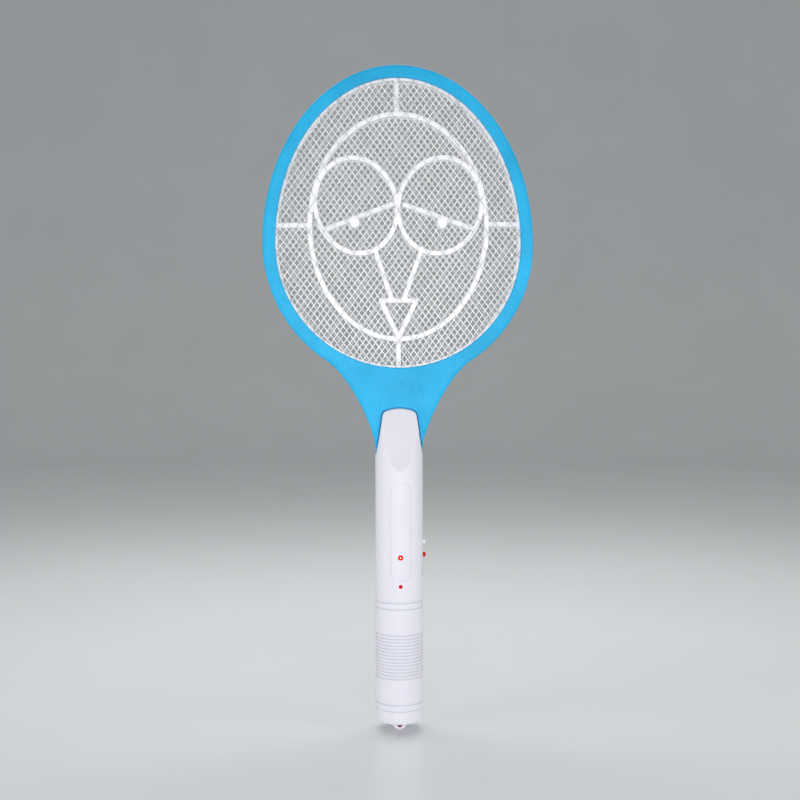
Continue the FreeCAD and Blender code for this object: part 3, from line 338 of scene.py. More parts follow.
def frame_shell(side):
    """One half of the blue frame, with rounded edges, its lip, the mesh seat and the tang."""
    sections = []
    for x, z, normal_x, normal_z in head_columns():
        angle = math.atan2(z - HEAD_Z, x)
        face = neck_depth(z)
        section = []

        def outer(inward, depth):
            section.append((x - normal_x * inward, side * depth, z - normal_z * inward))

        def inner(outward, depth):
            place = egg_point(OPENING, angle, outward)
            section.append((place[0], side * depth, place[1]))

        outer(0.22, 0.0)
        outer(0.0, 0.28)
        outer(0.0, face - FRAME_EDGE - 0.3)
        for cosine, sine in quarter(8, 7):
            outer(FRAME_EDGE * (1 - cosine), face - FRAME_EDGE * (1 - sine))
        outer(FRAME_EDGE + 0.4, face)
        start = Vector(section[-1])
        end_x, end_z = egg_point(OPENING, angle, OPENING_EDGE + 0.3)
        # Rows across the face, at the heights where the neck bends.
        for number, height in enumerate((216.0, 219.0, 221.5, 224.0), start=1):
            share = (height - start.z) / (end_z - start.z) if z < 214.0 else 0.02 * number
            share = min(max(share, 0.02 * number), 0.9)
            bend_z = start.z + (end_z - start.z) * share
            section.append((start.x + (end_x - start.x) * share, side * neck_depth(bend_z), bend_z))
        inner(OPENING_EDGE + 0.3, FRAME_HALF)
        for cosine, sine in quarter(6, 5):
            inner(OPENING_EDGE * (1 - sine), FRAME_HALF - OPENING_EDGE * (1 - cosine))
        inner(0.0, FRAME_HALF - OPENING_EDGE - 0.3)
        inner(0.0, SEAT_DEPTH + 0.2)
        inner(0.2, SEAT_DEPTH)
        inner(3.5, SEAT_DEPTH)
        inner(3.5, 0.0)
        sections.append(section)
    item = loft(f"frame_shell_{SIDE_WORD[side]}", list(zip(*sections)), wrap=True)
    inside = (0.0, side * TANG_HALF)
    tang = block("tang", (-14.0, 14.0), (min(inside), max(inside)), (185.6, 206.0))
    boolean(item, [tang], "UNION")
    tools = [
        block("channel", (-3.0, 3.0), (-2.4, 2.4), (180.0, 246.5)),
        block("chamber", (-11.0, 11.0), (-SEAT_DEPTH, SEAT_DEPTH), (246.0, 264.5)),
    ]
    for x, z in FRAME_SCREWS:
        if side == REAR:
            profile = [(-1.0, 1.05), (5.0, 1.05), (5.0, 1.9), (7.85, 1.9), (8.5, 2.55)]
        else:
            profile = [(-5.2, 1.05), (1.0, 1.05)]
        tools.append(turned("screw_hole", profile, (x, 0.0, z), "Y", 32))
    for x, z in HANDLE_SCREWS[1:]:
        tools.append(turned("tang_hole", [(-9.0, 1.7), (9.0, 1.7)], (x, 0.0, z), "Y", 24))
    tools.append(tongue_gap(side))
    return shade(boolean(item, tools))


# ---- ribs ----

RIB_WIDTH = 3.5
# Rings as (x, z, half width, half height, lean to the left in degrees).
RIB_RINGS = [
    (0.0, 370.6, 65.2, 82.8, 0.0),
    (-31.3, 385.8, 29.9, 35.3, 14.0),
    (30.7, 386.4, 30.7, 35.7, -16.0),
]
# Bars from one (x, z) to another, and discs as (x, z, radius).
RIB_BARS = [
    ((-1.5, 452.0), (-1.5, 479.8)), ((-0.3, 266.4), (-0.3, 290.6)),
    ((-91.0, 370.8), (-64.0, 370.8)), ((64.0, 372.8), (91.0, 372.8)),
    ((-3.0, 387.7), (-56.0, 367.2)), ((3.0, 387.2), (56.6, 368.9)),
    ((-18.0, 355.0), (-4.8, 316.1)), ((17.6, 355.4), (3.4, 316.1)),
    ((-14.4, 316.1), (14.2, 316.1)), ((-13.1, 316.1), (-0.8, 289.8)), ((12.9, 316.1), (0.4, 289.8)),
]
RIB_DISCS = [(-32.2, 373.0, 3.9), (32.0, 373.4, 4.3)]
RIB_NEAR = 0.45
RIB_FAR = 4.15


def rib_section(width, lift):
    """Section of a rib, with rounded front edges: (across, depth) pairs, anticlockwise."""
    half = width / 2
    top = RIB_FAR - lift
    edge = 0.4
    rounding = [(half - edge * (1 - cosine), top - 0.03 - edge * (1 - sine))
                for cosine, sine in quarter(5, 4)]
    other = [(-across, depth) for across, depth in reversed(rounding)]
    return [(-half, RIB_NEAR + lift), (half, RIB_NEAR + lift)] + rounding + [(0.0, top)] + other


def spacer(side):
    """The white rib spacer: a ring round the opening, with round-topped ribs across it."""
    loops = []
    shape = [(RING, 0.3, RIB_FAR), (RING, 0.0, RIB_FAR - 0.3), (RING, 0.0, RIB_NEAR),
             (SHEET, 0.0, RIB_NEAR), (SHEET, 0.0, RIB_FAR - 0.3), (SHEET, -0.3, RIB_FAR)]
    for sizes, grown, depth in shape:
        loop = []
        for step in range(220):
            x, z = egg_point(sizes, 2 * math.pi * step / 220, grown)
            loop.append((x, side * depth, z))
        loops.append(loop)
    rim = loft(f"rib_spacer_{SIDE_WORD[side]}", loops, wrap=True)
    ribs = []
    for number, (x, z, half_width, half_height, tilt) in enumerate(RIB_RINGS):
        lean = Matrix.Rotation(math.radians(tilt), 2)
        sections = []
        for step in range(144):
            angle = 2 * math.pi * step / 144
            outwards = Vector((math.cos(angle) / half_width, math.sin(angle) / half_height))
            normal = lean @ outwards.normalized()
            reach = Vector((half_width * math.cos(angle), half_height * math.sin(angle)))
            base = Vector((x, z)) + lean @ reach
            sections.append([(base.x + normal.x * across, side * depth, base.y + normal.y * across)
                             for across, depth in rib_section(RIB_WIDTH, 0.02 * number)])
        ribs.append(loft(f"rib_ring_{number}", sections, wrap=True))
    for number, (start, end) in enumerate(RIB_BARS):
        run = (Vector(end) - Vector(start)).normalized()
        sections = []
        for place in (Vector(start), Vector(end)):
            sections.append([(place.x - run.y * across, side * depth, place.y + run.x * across)
                             for across, depth in rib_section(RIB_WIDTH - 0.1, 0.06 + 0.013 * number)])
        ribs.append(loft(f"rib_bar_{number}", sections))
    for number, (x, z, radius) in enumerate(RIB_DISCS):
        profile = [(side * (RIB_NEAR + 0.01), radius)]
        profile += [(side * (RIB_FAR - lower), radius - inset)
                    for lower, inset in ((0.9, 0.0), (0.4, 0.2), (0.1, 0.7), (0.01, 1.5))]
        ribs.append(turned(f"rib_disc_{number}", profile, (x, 0.0, z), "Y", 40))
    return shade(boolean(rim, ribs, "UNION"), 40.0)


# ---- meshes ----

def inside_sheet(x, z):
    width, rise, drop = SHEET
    height = z - HEAD_Z
    return (x / width) ** 2 + (height / (rise if height > 0 else drop)) ** 2 <= 1


def clip(polygon):
    """The part of a small polygon of (x, y, z) points that lies inside the sheet's outline."""
    kept = []
    for start, end in zip(polygon, polygon[1:] + polygon[:1]):
        start_in = inside_sheet(start[0], start[2])
        end_in = inside_sheet(end[0], end[2])
        if start_in:
            kept.append(start)
        if start_in != end_in:
            inner, outer = (Vector(start), Vector(end)) if start_in else (Vector(end), Vector(start))
            share = 0.0
            for halving in range(1, 25):
                place = inner.lerp(outer, share + 0.5 ** halving)
                if inside_sheet(place.x, place.z):
                    share += 0.5 ** halving
            kept.append(tuple(inner.lerp(outer, share)))
    return kept


# Faces of the strands at a cell, by their corners: half pitches to the right and up, and kind of corner.
STRANDS = (
    ((0, 0, "R"), (1, 1, "B"), (1, 1, "L"), (0, 0, "T")),
    ((0, 0, "T"), (-1, 1, "R"), (-1, 1, "B"), (0, 0, "L")),
    ((0, 0, "R"), (1, -1, "T"), (2, 0, "L"), (1, 1, "B")),
)


def expanded_sheet(name, pitch, strand, thickness, twist, tilt, middle, tab_x):
    """Expanded metal: slit and stretched sheet whose strands stand slightly out of its plane."""
    half_x = pitch[0] / 2
    half_z = pitch[1] / 2
    shrink = strand / 2 * math.hypot(half_x, half_z)
    reach_x = half_x - shrink / half_z
    reach_z = half_z - shrink / half_x
    turn = math.radians(tilt)

    def corner(column, row, kind):
        """A corner of a cell; columns count in half pitches, and kind is R, T, L or B."""
        step = {"R": (reach_x, 0.0, 0.0), "T": (0.0, twist, reach_z),
                "L": (-reach_x, 0.0, 0.0), "B": (0.0, -twist, -reach_z)}[kind]
        x = column * half_x + step[0]
        z = row * half_z + step[2]
        return (x * math.cos(turn) - z * math.sin(turn), middle + step[1],
                HEAD_Z + x * math.sin(turn) + z * math.cos(turn))

    faces = []
    points = []
    rows = int(SHEET[1] / half_z) + 3
    columns = int(SHEET[0] / half_x) + 3
    for row in range(-rows, rows + 1):
        for column in range(-columns, columns + 1):
            if (row + column) % 2:
                continue
            for corners in STRANDS:
                polygon = clip([corner(column + right, row + up, kind) for right, up, kind in corners])
                if len(polygon) > 2:
                    faces.append(tuple(range(len(points), len(points) + len(polygon))))
                    points.extend(polygon)
    item = solid(name, points, faces)
    thicken = item.modifiers.new("thickness", "SOLIDIFY")
    thicken.thickness = thickness * MM
    thicken.offset = 0.0
    bake(item)
    half = thickness / 2 - 0.03
    tab = block("tab", (tab_x - 2.0, tab_x + 2.0), (middle - half, middle + half), (252.0, 263.7))
    item = join(name, [item, tab])
    return shade(item, 100.0)


# ---- handle ----

# A groove as (height from its middle, depth), and the heights of all grooves.
GROOVE = ((-0.66, 0.0), (-0.52, 0.08), (-0.32, 0.36), (-0.12, 0.48),
          (0.12, 0.48), (0.32, 0.36), (0.52, 0.08), (0.66, 0.0))
GROOVES = [21.5] + [40.4 + 2.415 * k for k in range(14)] + [90.8, 95.4]


def handle_rows():
    """Heights and radii of the handle's round part, with its grooves."""
    rows = [(HANDLE_FOOT, HANDLE_RADIUS - 0.42), (HANDLE_FOOT + 0.28, HANDLE_RADIUS - 0.3),
            (HANDLE_FOOT + 0.6, HANDLE_RADIUS - 0.05), (HANDLE_FOOT + 0.85, HANDLE_RADIUS)]
    for centre in GROOVES:
        rows += [(centre + step, HANDLE_RADIUS - depth) for step, depth in GROOVE]
    taken = [z for z, radius in rows]
    for k in range(160):
        z = 18.0 + k * 1.15
        if z < 202.6 and min(abs(z - other) for other in taken) > 0.9:
            rows.append((z, HANDLE_RADIUS))
    rows.append((SHOULDER, HANDLE_RADIUS))
    return sorted(rows)


def scoop_depth(z):
    """Distance of the scoop's face from the handle's axis plane."""
    steep = HANDLE_RADIUS + 0.05 - (z - 189.6) * 0.30
    shallow = HANDLE_RADIUS - 2.1 - (z - 198.0) * 0.1481
    return -smooth_min(-steep, -shallow, 1.6)


def along_path(path, share):
    """The point at a share of a path's length."""
    lengths = [(b - a).length for a, b in zip(path, path[1:])]
    left = share * sum(lengths)
    for start, end, length in zip(path, path[1:], lengths):
        if left <= length:
            return start.lerp(end, left / length if length else 0.0)
        left -= length
    return path[-1].copy()


def edge_distance(place, path):
    """Distance of a place from a path."""
    nearest = 1e9
    for start, end in zip(path, path[1:]):
        run = end - start
        share = min(max((place - start).dot(run) / run.length_squared, 0.0), 1.0)
        nearest = min(nearest, (start + run * share - place).length)
    return nearest


def handle_blank(side):
    """The solid outside of one handle shell: grooved round grip, scooped top, tongue with a 1 mm edge."""
    angles = [-90.0, -89.0] + [-87.5 + 2.5 * k for k in range(71)] + [89.0, 90.0]
    across = [math.sin(math.radians(angle)) for angle in angles]
    grid = []
    for z, radius in handle_rows():
        row = []
        for angle, share in zip(angles, across):
            inset = 0.13 if abs(angle) == 90.0 else 0.0
            x = (radius - inset) * share
            depth = (radius - inset) * math.cos(math.radians(angle))
            if z > 185.0:
                depth = smooth_min(depth, scoop_depth(z), 0.5)
            row.append((x, max(depth, 0.0) if abs(angle) < 90.0 else 0.0, z))
        grid.append(row)
    side_path, crown = tongue_path()
    whole_edge = side_path + crown[1:] + mirrored(side_path[:-1])
    near_top = [0.0, 0.02, 0.07, 0.15, 0.26, 0.4, 0.57, 0.78, 1.0, 1.4, 2.0, 2.8, 3.8]
    shares = [0.004] + [k / 36 for k in range(1, 32)]
    shares += sorted(1 - distance / 33 for distance in near_top)
    shoulder = [Vector((-TONGUE_FOOT, SHOULDER)), Vector((TONGUE_FOOT, SHOULDER))]
    for up in shares:
        right = along_path(side_path, up)
        left = Vector((-right.x, right.y))
        row = []
        for position in across:
            part = (position + 1) / 2
            low = shoulder[0].lerp(shoulder[1], part)
            high = along_path(crown, 1 - part)
            ends = shoulder[0].lerp(crown[-1], up).lerp(shoulder[1].lerp(crown[0], up), part)
            place = low.lerp(high, up) + left.lerp(right, part) - ends
            depth = math.sqrt(max(HANDLE_RADIUS ** 2 - place.x ** 2, 0.0))
            depth = smooth_min(depth, scoop_depth(place.y), 0.5)
            edge = smooth_step((place.y - SHOULDER) / 9)
            distance = edge_distance(place, whole_edge) if edge > 0.01 else 9.0
            if distance < edge:
                depth -= edge - math.sqrt(max(edge ** 2 - (edge - distance) ** 2, 0.0))
            row.append((place.x, max(depth, 0.0), place.y))
        grid.append(row)

    count = len(across)
    points = [(x, side * depth, z) for row in grid for x, depth, z in row]
    faces = []
    for row in range(len(grid) - 1):
        for column in range(count - 1):
            a = row * count + column
            faces.append((a, a + 1, a + 1 + count, a + count))
    last = (len(grid) - 1) * count
    border = [row * count for row in range(len(grid))]
    border += [last + column for column in range(1, count)]
    border += [row * count + count - 1 for row in range(len(grid) - 2, -1, -1)]
    backs = []
    for index in border:
        x, y, z = points[index]
        if abs(y) < 1e-6:
            backs.append(index)
        else:
            points.append((x, 0.0, z))
            backs.append(len(points) - 1)
    for k in range(len(border) - 1):
        ring = dict.fromkeys((border[k], border[k + 1], backs[k + 1], backs[k]))
        if len(ring) > 2:
            faces.append(tuple(ring))
    faces.append(tuple(backs))
    faces.append(tuple(range(count)))
    return solid(f"handle_shell_{SIDE_WORD[side]}", points, faces)


# The panel's half width, lower and upper end, and the radius of the tool that draws its line.
PANEL = (7.6, 111.5, 182.7)
PANEL_LINE = 0.46


def on_handle(x, z, lift):
    """A point on the handle's front, lifted off it."""
    angle = x / HANDLE_RADIUS
    radius = HANDLE_RADIUS + lift
    return radius * math.sin(angle), -radius * math.cos(angle), z


def oblong(half_width, low, high):
    """Closed outline of an upright oblong with half round ends, as (x, z) pairs."""
    pairs = []
    straight = high - low - 2 * half_width
    for start, sign, centre in ((0.0, -1, high - half_width), (math.pi, 1, low + half_width)):
        for k in range(29):
            turn = start + math.pi * k / 28
            pairs.append((half_width * math.cos(turn), centre + half_width * math.sin(turn)))
        pairs += [(sign * half_width, centre + sign * straight * (k + 0.5) / 40) for k in range(40)]
    return pairs


def panel_groove():
    """Cutter for the fine line round the oblong panel on the handle's front."""
    outline = oblong(*PANEL)
    sections = []
    for index, (x, z) in enumerate(outline):
        run = heading(outline, index, closed=True)
        section = []
        for step in range(8):
            turn = 2 * math.pi * (step + 0.5) / 8
            offset = PANEL_LINE * math.cos(turn)
            lift = 0.02 + PANEL_LINE * math.sin(turn)
            section.append(on_handle(x + run.y * offset, z - run.x * offset, lift))
        sections.append(section)
    return loft("panel_groove", sections, wrap=True)


PAD_HEIGHT = 81.1


def blank_pad():
    """The low blank pad between the grip's ribs and the upper grooves."""
    loops = []
    for inset, lift in ((0.0, -0.6), (0.0, 0.08), (0.12, 0.16), (0.45, 0.2)):
        loop = rounded_outline(9.6 - inset, 5.7 - inset, 1.6 - inset, (0.0, PAD_HEIGHT))
        dense = []
        for (x, z), (next_x, next_z) in zip(loop, loop[1:] + loop[:1]):
            pieces = 12 if abs(next_x - x) > 3 else 1
            for k in range(pieces):
                dense.append((x + (next_x - x) * k / pieces, z + (next_z - z) * k / pieces))
        loops.append([on_handle(x, z, lift) for x, z in dense])
    points, faces = skin(loops)
    for row in (0, len(loops) - 1):
        faces += closing_strips(loops, row)
    return solid("blank_pad", points, faces)


def closing_strips(loops, row):
    """Faces that close a loop on the curved handle, as strips between its upper and lower halves."""
    base = row * len(loops[0])
    tops = {}
    bottoms = {}
    for k, (x, y, z) in enumerate(loops[row]):
        (tops if z > PAD_HEIGHT else bottoms)[round(x, 5)] = k
    columns = sorted(set(tops) & set(bottoms))
    faces = []
    for left, right in zip(columns, columns[1:]):
        faces.append((base + bottoms[left], base + bottoms[right], base + tops[right], base + tops[left]))
    return faces


def mouth_cutter(side):
    """Cutter for the mouth between the tongues, a little larger than the neck."""
    profile = ((-0.5, SHOULDER), (5.05, SHOULDER), (6.55, 212.0), (8.05, 221.0),
               (8.05, 240.0), (-0.5, 240.0))
    return loft("mouth", [[(x, side * depth, z) for depth, z in profile] for x in (-30.0, 30.0)])


def handle_shell(side):
    """One shell of the white handle, hollow, with its openings."""
    item = handle_blank(side)
    if side == FRONT:
        boolean(item, [blank_pad()], "UNION")
    tools = [
        turned("cavity", [(14.0, CAVITY_RADIUS), (185.0, CAVITY_RADIUS)], (0.0, 0.0, 0.0), "Z", 128),
        block("slot", (-14.1, 14.1), (-5.05, 5.05), (184.5, 203.5)),
        mouth_cutter(side),
        turned("button_hole", [(10.0, 2.05), (17.25, 2.05), (18.5, 2.85)], (0.0, 0.0, BUTTON_Z), "X", 48),
        block("knob_slot", (10.0, 20.0), (-1.9, 1.9), (KNOB_Z - 1.7, KNOB_Z + KNOB_TRAVEL + 1.7)),
        block("port_recess", (16.4, 20.0), (-5.5, 5.5), (104.5, 122.5)),
        block("port_hole", (10.0, 20.0), (-0.75, 2.45), (112.75, 120.75)),
    ]
    if side == FRONT:
        large = [(-20.0, 2.6), (-17.3, 1.97), (-16.9, 1.95), (-16.9, 2.6), (-12.0, 2.6)]
        small = [(-20.0, 1.95), (-17.4, 1.44), (-17.05, 1.42), (-17.05, 1.6), (-12.0, 1.6)]
        tools.append(turned("large_led_hole", large, (0.0, 0.0, LARGE_LED[2]), "Y", 48))
        tools.append(turned("small_led_hole", small, (0.0, 0.0, SMALL_LED[2]), "Y", 40))
        tools.append(panel_groove())
    else:
        for x, z in HANDLE_SCREWS:
            profile = [(2.0, 1.7), (10.0, 1.7), (10.0, 2.8), (22.0, 2.8)]
            tools.append(turned("screw_seat", profile, (x, 0.0, z), "Y", 40))
    return shade(boolean(item, tools), 32.0)


# ---- small pieces ----

def end_cap():
    """The end cap with its spigot, rounded foot and the half round lug that holds the jewel."""
    outer = HANDLE_RADIUS - 0.1
    top = HANDLE_FOOT - 0.2
    profile = [(9.6, 13.6), (22.2, 13.6), (22.2, 15.1), (21.9, 15.4), (top + 0.15, 15.4), (top, 15.6),
               (top, outer - 0.55), (top - 0.25, outer - 0.4), (top - 0.6, outer - 0.08),
               (top - 0.8, outer)]
    corner = 2.2
    foot = 7.1
    lug_radius = 6.0
    lug_top = 8.6
    profile.append((foot + corner + 0.4, outer))
    for cosine, sine in quarter(13, 12):
        profile.append((foot + corner * (1 - sine), outer - corner * (1 - cosine)))
    profile.append((foot, outer - corner - 0.4))
    cap = turned("cap_moulding", profile, (0.0, 0.0, 0.0), "Z", 128)
    loops = []
    for depth, inset in ((-3.2, 0.55), (-3.12, 0.28), (-2.92, 0.08), (-2.65, 0.0),
                         (2.65, 0.0), (2.92, 0.08), (3.12, 0.28), (3.2, 0.55)):
        radius = lug_radius - inset
        loop = []
        for angle in range(180, 361, 5):
            turn = math.radians(angle)
            loop.append((radius * math.cos(turn), depth, lug_radius + radius * math.sin(turn)))
        loop += [(radius, depth, lug_top), (-radius, depth, lug_top)]
        loops.append(loop)
    boolean(cap, [loft("lug", loops)], "UNION")
    seat = turned("jewel_seat", [(-6.0, 2.15), (-3.0, 1.83), (-1.4, 1.83)], (0.0, 0.0, JEWEL[2]), "Y", 48)
    return shade(boolean(cap, [seat]), 35.0)


def dome(name, radius, foot, rise, place, rim=0.0):
    """A cylinder with a domed front, and a rim at its back if it is an indicator."""
    profile = []
    if rim:
        profile += [(0.0, radius + rim), (-0.75, radius + rim), (-0.9, radius + rim - 0.15)]
    profile += [(-0.9 if rim else 0.0, radius), (0.2 - foot, radius)]
    profile += [(-foot - rise * sine, radius * cosine) for cosine, sine in quarter(11, 10.6)]
    return shade(turned(name, profile, place, "Y", 56), 40.0)


def pan_screw(name, place, seat, tip, shank, head, height, cross):
    """A pan head screw driven from the rear, its head domed, with a cross recess."""
    profile = [(-tip, shank * 0.4), (-tip + 0.8, shank)]
    pitch = 0.7
    turns = int((tip + seat - 1.6) / pitch)
    for k in range(turns):
        base = -tip + 0.8 + k * pitch
        profile += [(base + 0.22, shank), (base + 0.35, shank * 0.78), (base + 0.48, shank)]
    profile += [(seat, shank), (seat, head)]
    for cosine, sine in quarter(8, 7.6):
        profile.append((seat + height * (0.35 + 0.65 * sine), head * (0.55 + 0.45 * cosine)))
    item = turned(name, profile, (place[0], 0.0, place[1]), "Y", 36)
    x, z = place
    low = seat + height * 0.45
    tools = []
    for half_x, half_z in ((cross, cross * 0.24), (cross * 0.24, cross)):
        loops = []
        for depth, grow in ((low, 0.55), (seat + height + 0.6, 1.1)):
            loops.append([(x + half_x * grow * sx, depth, z + half_z * grow * sz)
                          for sx, sz in ((-1, -1), (1, -1), (1, 1), (-1, 1))])
        tools.append(loft("cross", loops))
    return boolean(item, tools)


def screws(name, places, **sizes):
    """Screws of one size at several (x, z) places, as one object."""
    items = [pan_screw(f"{name}_{k}", place, **sizes) for k, place in enumerate(places)]
    return shade(join(name, items), 30.0)


def slide_knob():
    """The slide knob: a rounded cap with three finger ridges, on a flat shutter."""
    face = 19.3
    outline = [(14.6, KNOB_Z - 1.4), (18.5, KNOB_Z - 1.4), (18.95, KNOB_Z - 1.25)]
    for k in range(3):
        base = KNOB_Z - 0.9 + 0.75 * k
        outline += [(face - 0.32, base - 0.22), (face - 0.05, base - 0.1), (face, base + 0.15),
                    (face - 0.05, base + 0.4), (face - 0.32, base + 0.5)]
    outline += [(18.95, KNOB_Z + 1.25), (18.5, KNOB_Z + 1.4), (14.6, KNOB_Z + 1.4)]
    loops = []
    for depth, inset in ((-1.7, 0.35), (-1.6, 0.12), (-1.35, 0.0), (1.35, 0.0), (1.6, 0.12), (1.7, 0.35)):
        loop = []
        for x, z in outline:
            pull = inset if x > 15.0 else 0.0
            loop.append((x - pull, depth, KNOB_Z + (z - KNOB_Z) * (1 - inset / 1.6)))
        loops.append(loop)
    knob = loft("slide_knob", loops)
    shutter = block("shutter", (13.9, 14.8), (-3.0, 3.0), (KNOB_Z - 3.0, KNOB_Z + 3.0))
    boolean(knob, [shutter], "UNION")
    boolean(knob, [block("pocket", (13.0, 16.6), (-0.8, 0.8), (KNOB_Z - 0.8, KNOB_Z + 0.8))])
    return shade(knob, 35.0)


def push_button():
    """The push button: a domed round cap with a collar behind the wall."""
    radius = 1.85
    profile = [(13.3, 2.7), (13.45, 2.85), (14.15, 2.85), (14.3, 2.7), (14.3, radius), (18.8, radius)]
    for cosine, sine in quarter(9, 8.6)[1:]:
        profile.append((18.8 + 0.8 * sine, radius * (0.35 + 0.65 * cosine)))
    return shade(turned("push_button", profile, (0.0, 0.0, BUTTON_Z), "X", 56), 40.0)


def port_shell():
    """The charging socket's drawn metal shell with its rolled mouth."""
    low, high = (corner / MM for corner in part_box("charging_socket"))
    centre = (low + high) / 2
    half = (high - low) / 2
    loops = []
    for x, inset in ((low.x, 0.15), (low.x + 0.15, 0.0), (high.x - 0.15, 0.0), (high.x - 0.04, 0.06),
                     (high.x, 0.17), (high.x - 0.04, 0.28), (high.x - 0.2, 0.36), (low.x + 0.6, 0.36)):
        outline = rounded_outline(half.y - inset, half.z - inset, 0.95 - inset, (centre.y, centre.z))
        loops.append([(x, y, z) for y, z in outline])
    return shade(loft("port_shell", loops), 40.0)


# ---- materials ----

def linear(red, green, blue):
    """Linear colour from 8-bit display values."""
    def convert(value):
        value /= 255
        return value / 12.92 if value <= 0.04045 else ((value + 0.055) / 1.055) ** 2.4
    return convert(red), convert(green), convert(blue), 1.0


# Height in millimetres from the part's foot that a ramp over the handle covers.
RAMP_SPAN = 250.0
LOOKS = {}


class Look:
    """A node material under construction, kept in LOOKS under its name."""

    def __init__(self, name):
        material = bpy.data.materials.new(name)
        material.use_nodes = True
        LOOKS[name] = material
        self.tree = material.node_tree
        self.shader = self.tree.nodes["Principled BSDF"]
        self.coordinates = self.node("ShaderNodeTexCoord").outputs["Object"]

    def fill(self, node, values):
        """Give a node's inputs constants or the outputs of other nodes."""
        for socket, value in values.items():
            if isinstance(value, bpy.types.NodeSocket):
                self.tree.links.new(value, node.inputs[socket])
            else:
                node.inputs[socket].default_value = value

    def node(self, kind, values=None, **settings):
        made = self.tree.nodes.new(kind)
        for key, value in settings.items():
            setattr(made, key, value)
        self.fill(made, values or {})
        return made

    def surface(self, **values):
        """Fill the shader's inputs; a name has underscores for its spaces."""
        self.fill(self.shader, {key.replace("_", " "): value for key, value in values.items()})

    def noise(self, scale, detail=2.0, rough=0.5, stretch=None):
        """Noise in the object's own space; scale is in features per metre."""
        source = self.coordinates
        if stretch:
            source = self.node("ShaderNodeMapping", {"Vector": source, "Scale": stretch}).outputs["Vector"]
        values = {"Vector": source, "Scale": scale, "Detail": detail, "Roughness": rough}
        return self.node("ShaderNodeTexNoise", values).outputs["Fac"]

    def ramp(self, factor, stops):
        made = self.node("ShaderNodeValToRGB", {"Fac": factor})
        elements = made.color_ramp.elements
        while len(elements) < len(stops):
            elements.new(0.5)
        for element, (position, colour) in zip(elements, stops):
            element.position = position
            element.color = colour
        return made.outputs["Color"]

    def spread(self, factor, low, high, start=0.3, end=0.7):
        """Map a range to another; the first is the middle of a noise unless it is given."""
        values = {"Value": factor, "From Min": start, "From Max": end, "To Min": low, "To Max": high}
        return self.node("ShaderNodeMapRange", values).outputs["Result"]

    def bump(self, height, distance, strength, under=None):
        values = {"Height": height, "Distance": distance, "Strength": strength}
        if under:
            values["Normal"] = under
        return self.node("ShaderNodeBump", values).outputs["Normal"]

    def distance(self, offset, weights):
        """Length of an offset whose parts are weighted first."""
        flat = self.node("ShaderNodeVectorMath", {0: offset, 1: weights}, operation="MULTIPLY")
        return self.node("ShaderNodeVectorMath", {0: flat.outputs[0]}, operation="LENGTH").outputs["Value"]

    def paint_recess_shade(self, colour, heights, low, high, share):
        """Painted shade: darken a tone by a share, in bands of height, where the surface lies below the
        handle's round.
        """
        radius = self.distance(self.coordinates, (1.0, 1.0, 0.0))
        depth = self.spread(radius, 0.0, share, high * MM, low * MM)
        height = self.node("ShaderNodeSeparateXYZ", {0: self.coordinates}).outputs["Z"]
        level = self.node("ShaderNodeMath", {0: height, 1: 1 / (RAMP_SPAN * MM)}, operation="MULTIPLY")
        none = (0.0, 0.0, 0.0, 1.0)
        stops = []
        for start, end, strength in heights:
            full = (strength, strength, strength, 1.0)
            stops += [((start - 0.4) / RAMP_SPAN, none), (start / RAMP_SPAN, full),
                      (end / RAMP_SPAN, full), ((end + 0.4) / RAMP_SPAN, none)]
        values = {0: self.ramp(level.outputs[0], stops), 1: depth}
        band = self.node("ShaderNodeMath", values, operation="MULTIPLY")
        # The painted shade's colour, a dull lavender grey.
        values = {0: band.outputs[0], 6: colour, 7: linear(120, 122, 140)}
        return self.node("ShaderNodeMix", values, data_type="RGBA").outputs[2]


def shifted(colour, factor):
    return tuple(min(part * factor, 1.0) for part in colour[:3]) + (1.0,)


def moulded(name, colour, drift, roughness, grain, grain_depth,
            coat=0.0, mottle=700.0, gloss=0.5, recess_shade=None):
    """Moulded plastic with a slow drift and a fine mottle of its tone, uneven gloss and a fine grain, with
    painted shade in recesses where asked for.
    """
    look = Look(name)
    values = {0: 0.45, 2: look.noise(26.0, 3.0), 3: look.noise(mottle, 2.0, 0.6)}
    mix = look.node("ShaderNodeMix", values, data_type="FLOAT")
    tone = look.ramp(mix.outputs[0], [(0.36, shifted(colour, 1 - drift)), (0.5, colour),
                                      (0.64, shifted(colour, 1 + drift))])
    # Painted shade darkens the tone in the recesses.
    if recess_shade:
        tone = look.paint_recess_shade(tone, *recess_shade)
    body = look.bump(look.noise(60.0, 1.0), 0.00012, 0.12)
    look.surface(Base_Color=tone, Specular_IOR_Level=gloss,
                 Roughness=look.spread(look.noise(180.0, 3.0), roughness - 0.05, roughness + 0.06),
                 Normal=look.bump(look.noise(grain, 2.0, 0.6), grain_depth, 0.6, body))
    if coat:
        look.surface(Coat_Weight=coat, Coat_Roughness=0.12)


def metal(name, colour, roughness, stretch=None, shine=1.0):
    """Plated or drawn metal: fine scratches in the gloss and a slight stain in the tone."""
    look = Look(name)
    scratches = look.noise(1400.0, 3.0, 0.65, stretch)
    tone = look.ramp(look.noise(240.0, 3.0), [(0.35, shifted(colour, 0.9)), (0.6, colour)])
    look.surface(Base_Color=tone, Metallic=shine,
                 Roughness=look.spread(scratches, roughness - 0.08, roughness + 0.1),
                 Normal=look.bump(scratches, 0.00003, 0.5))


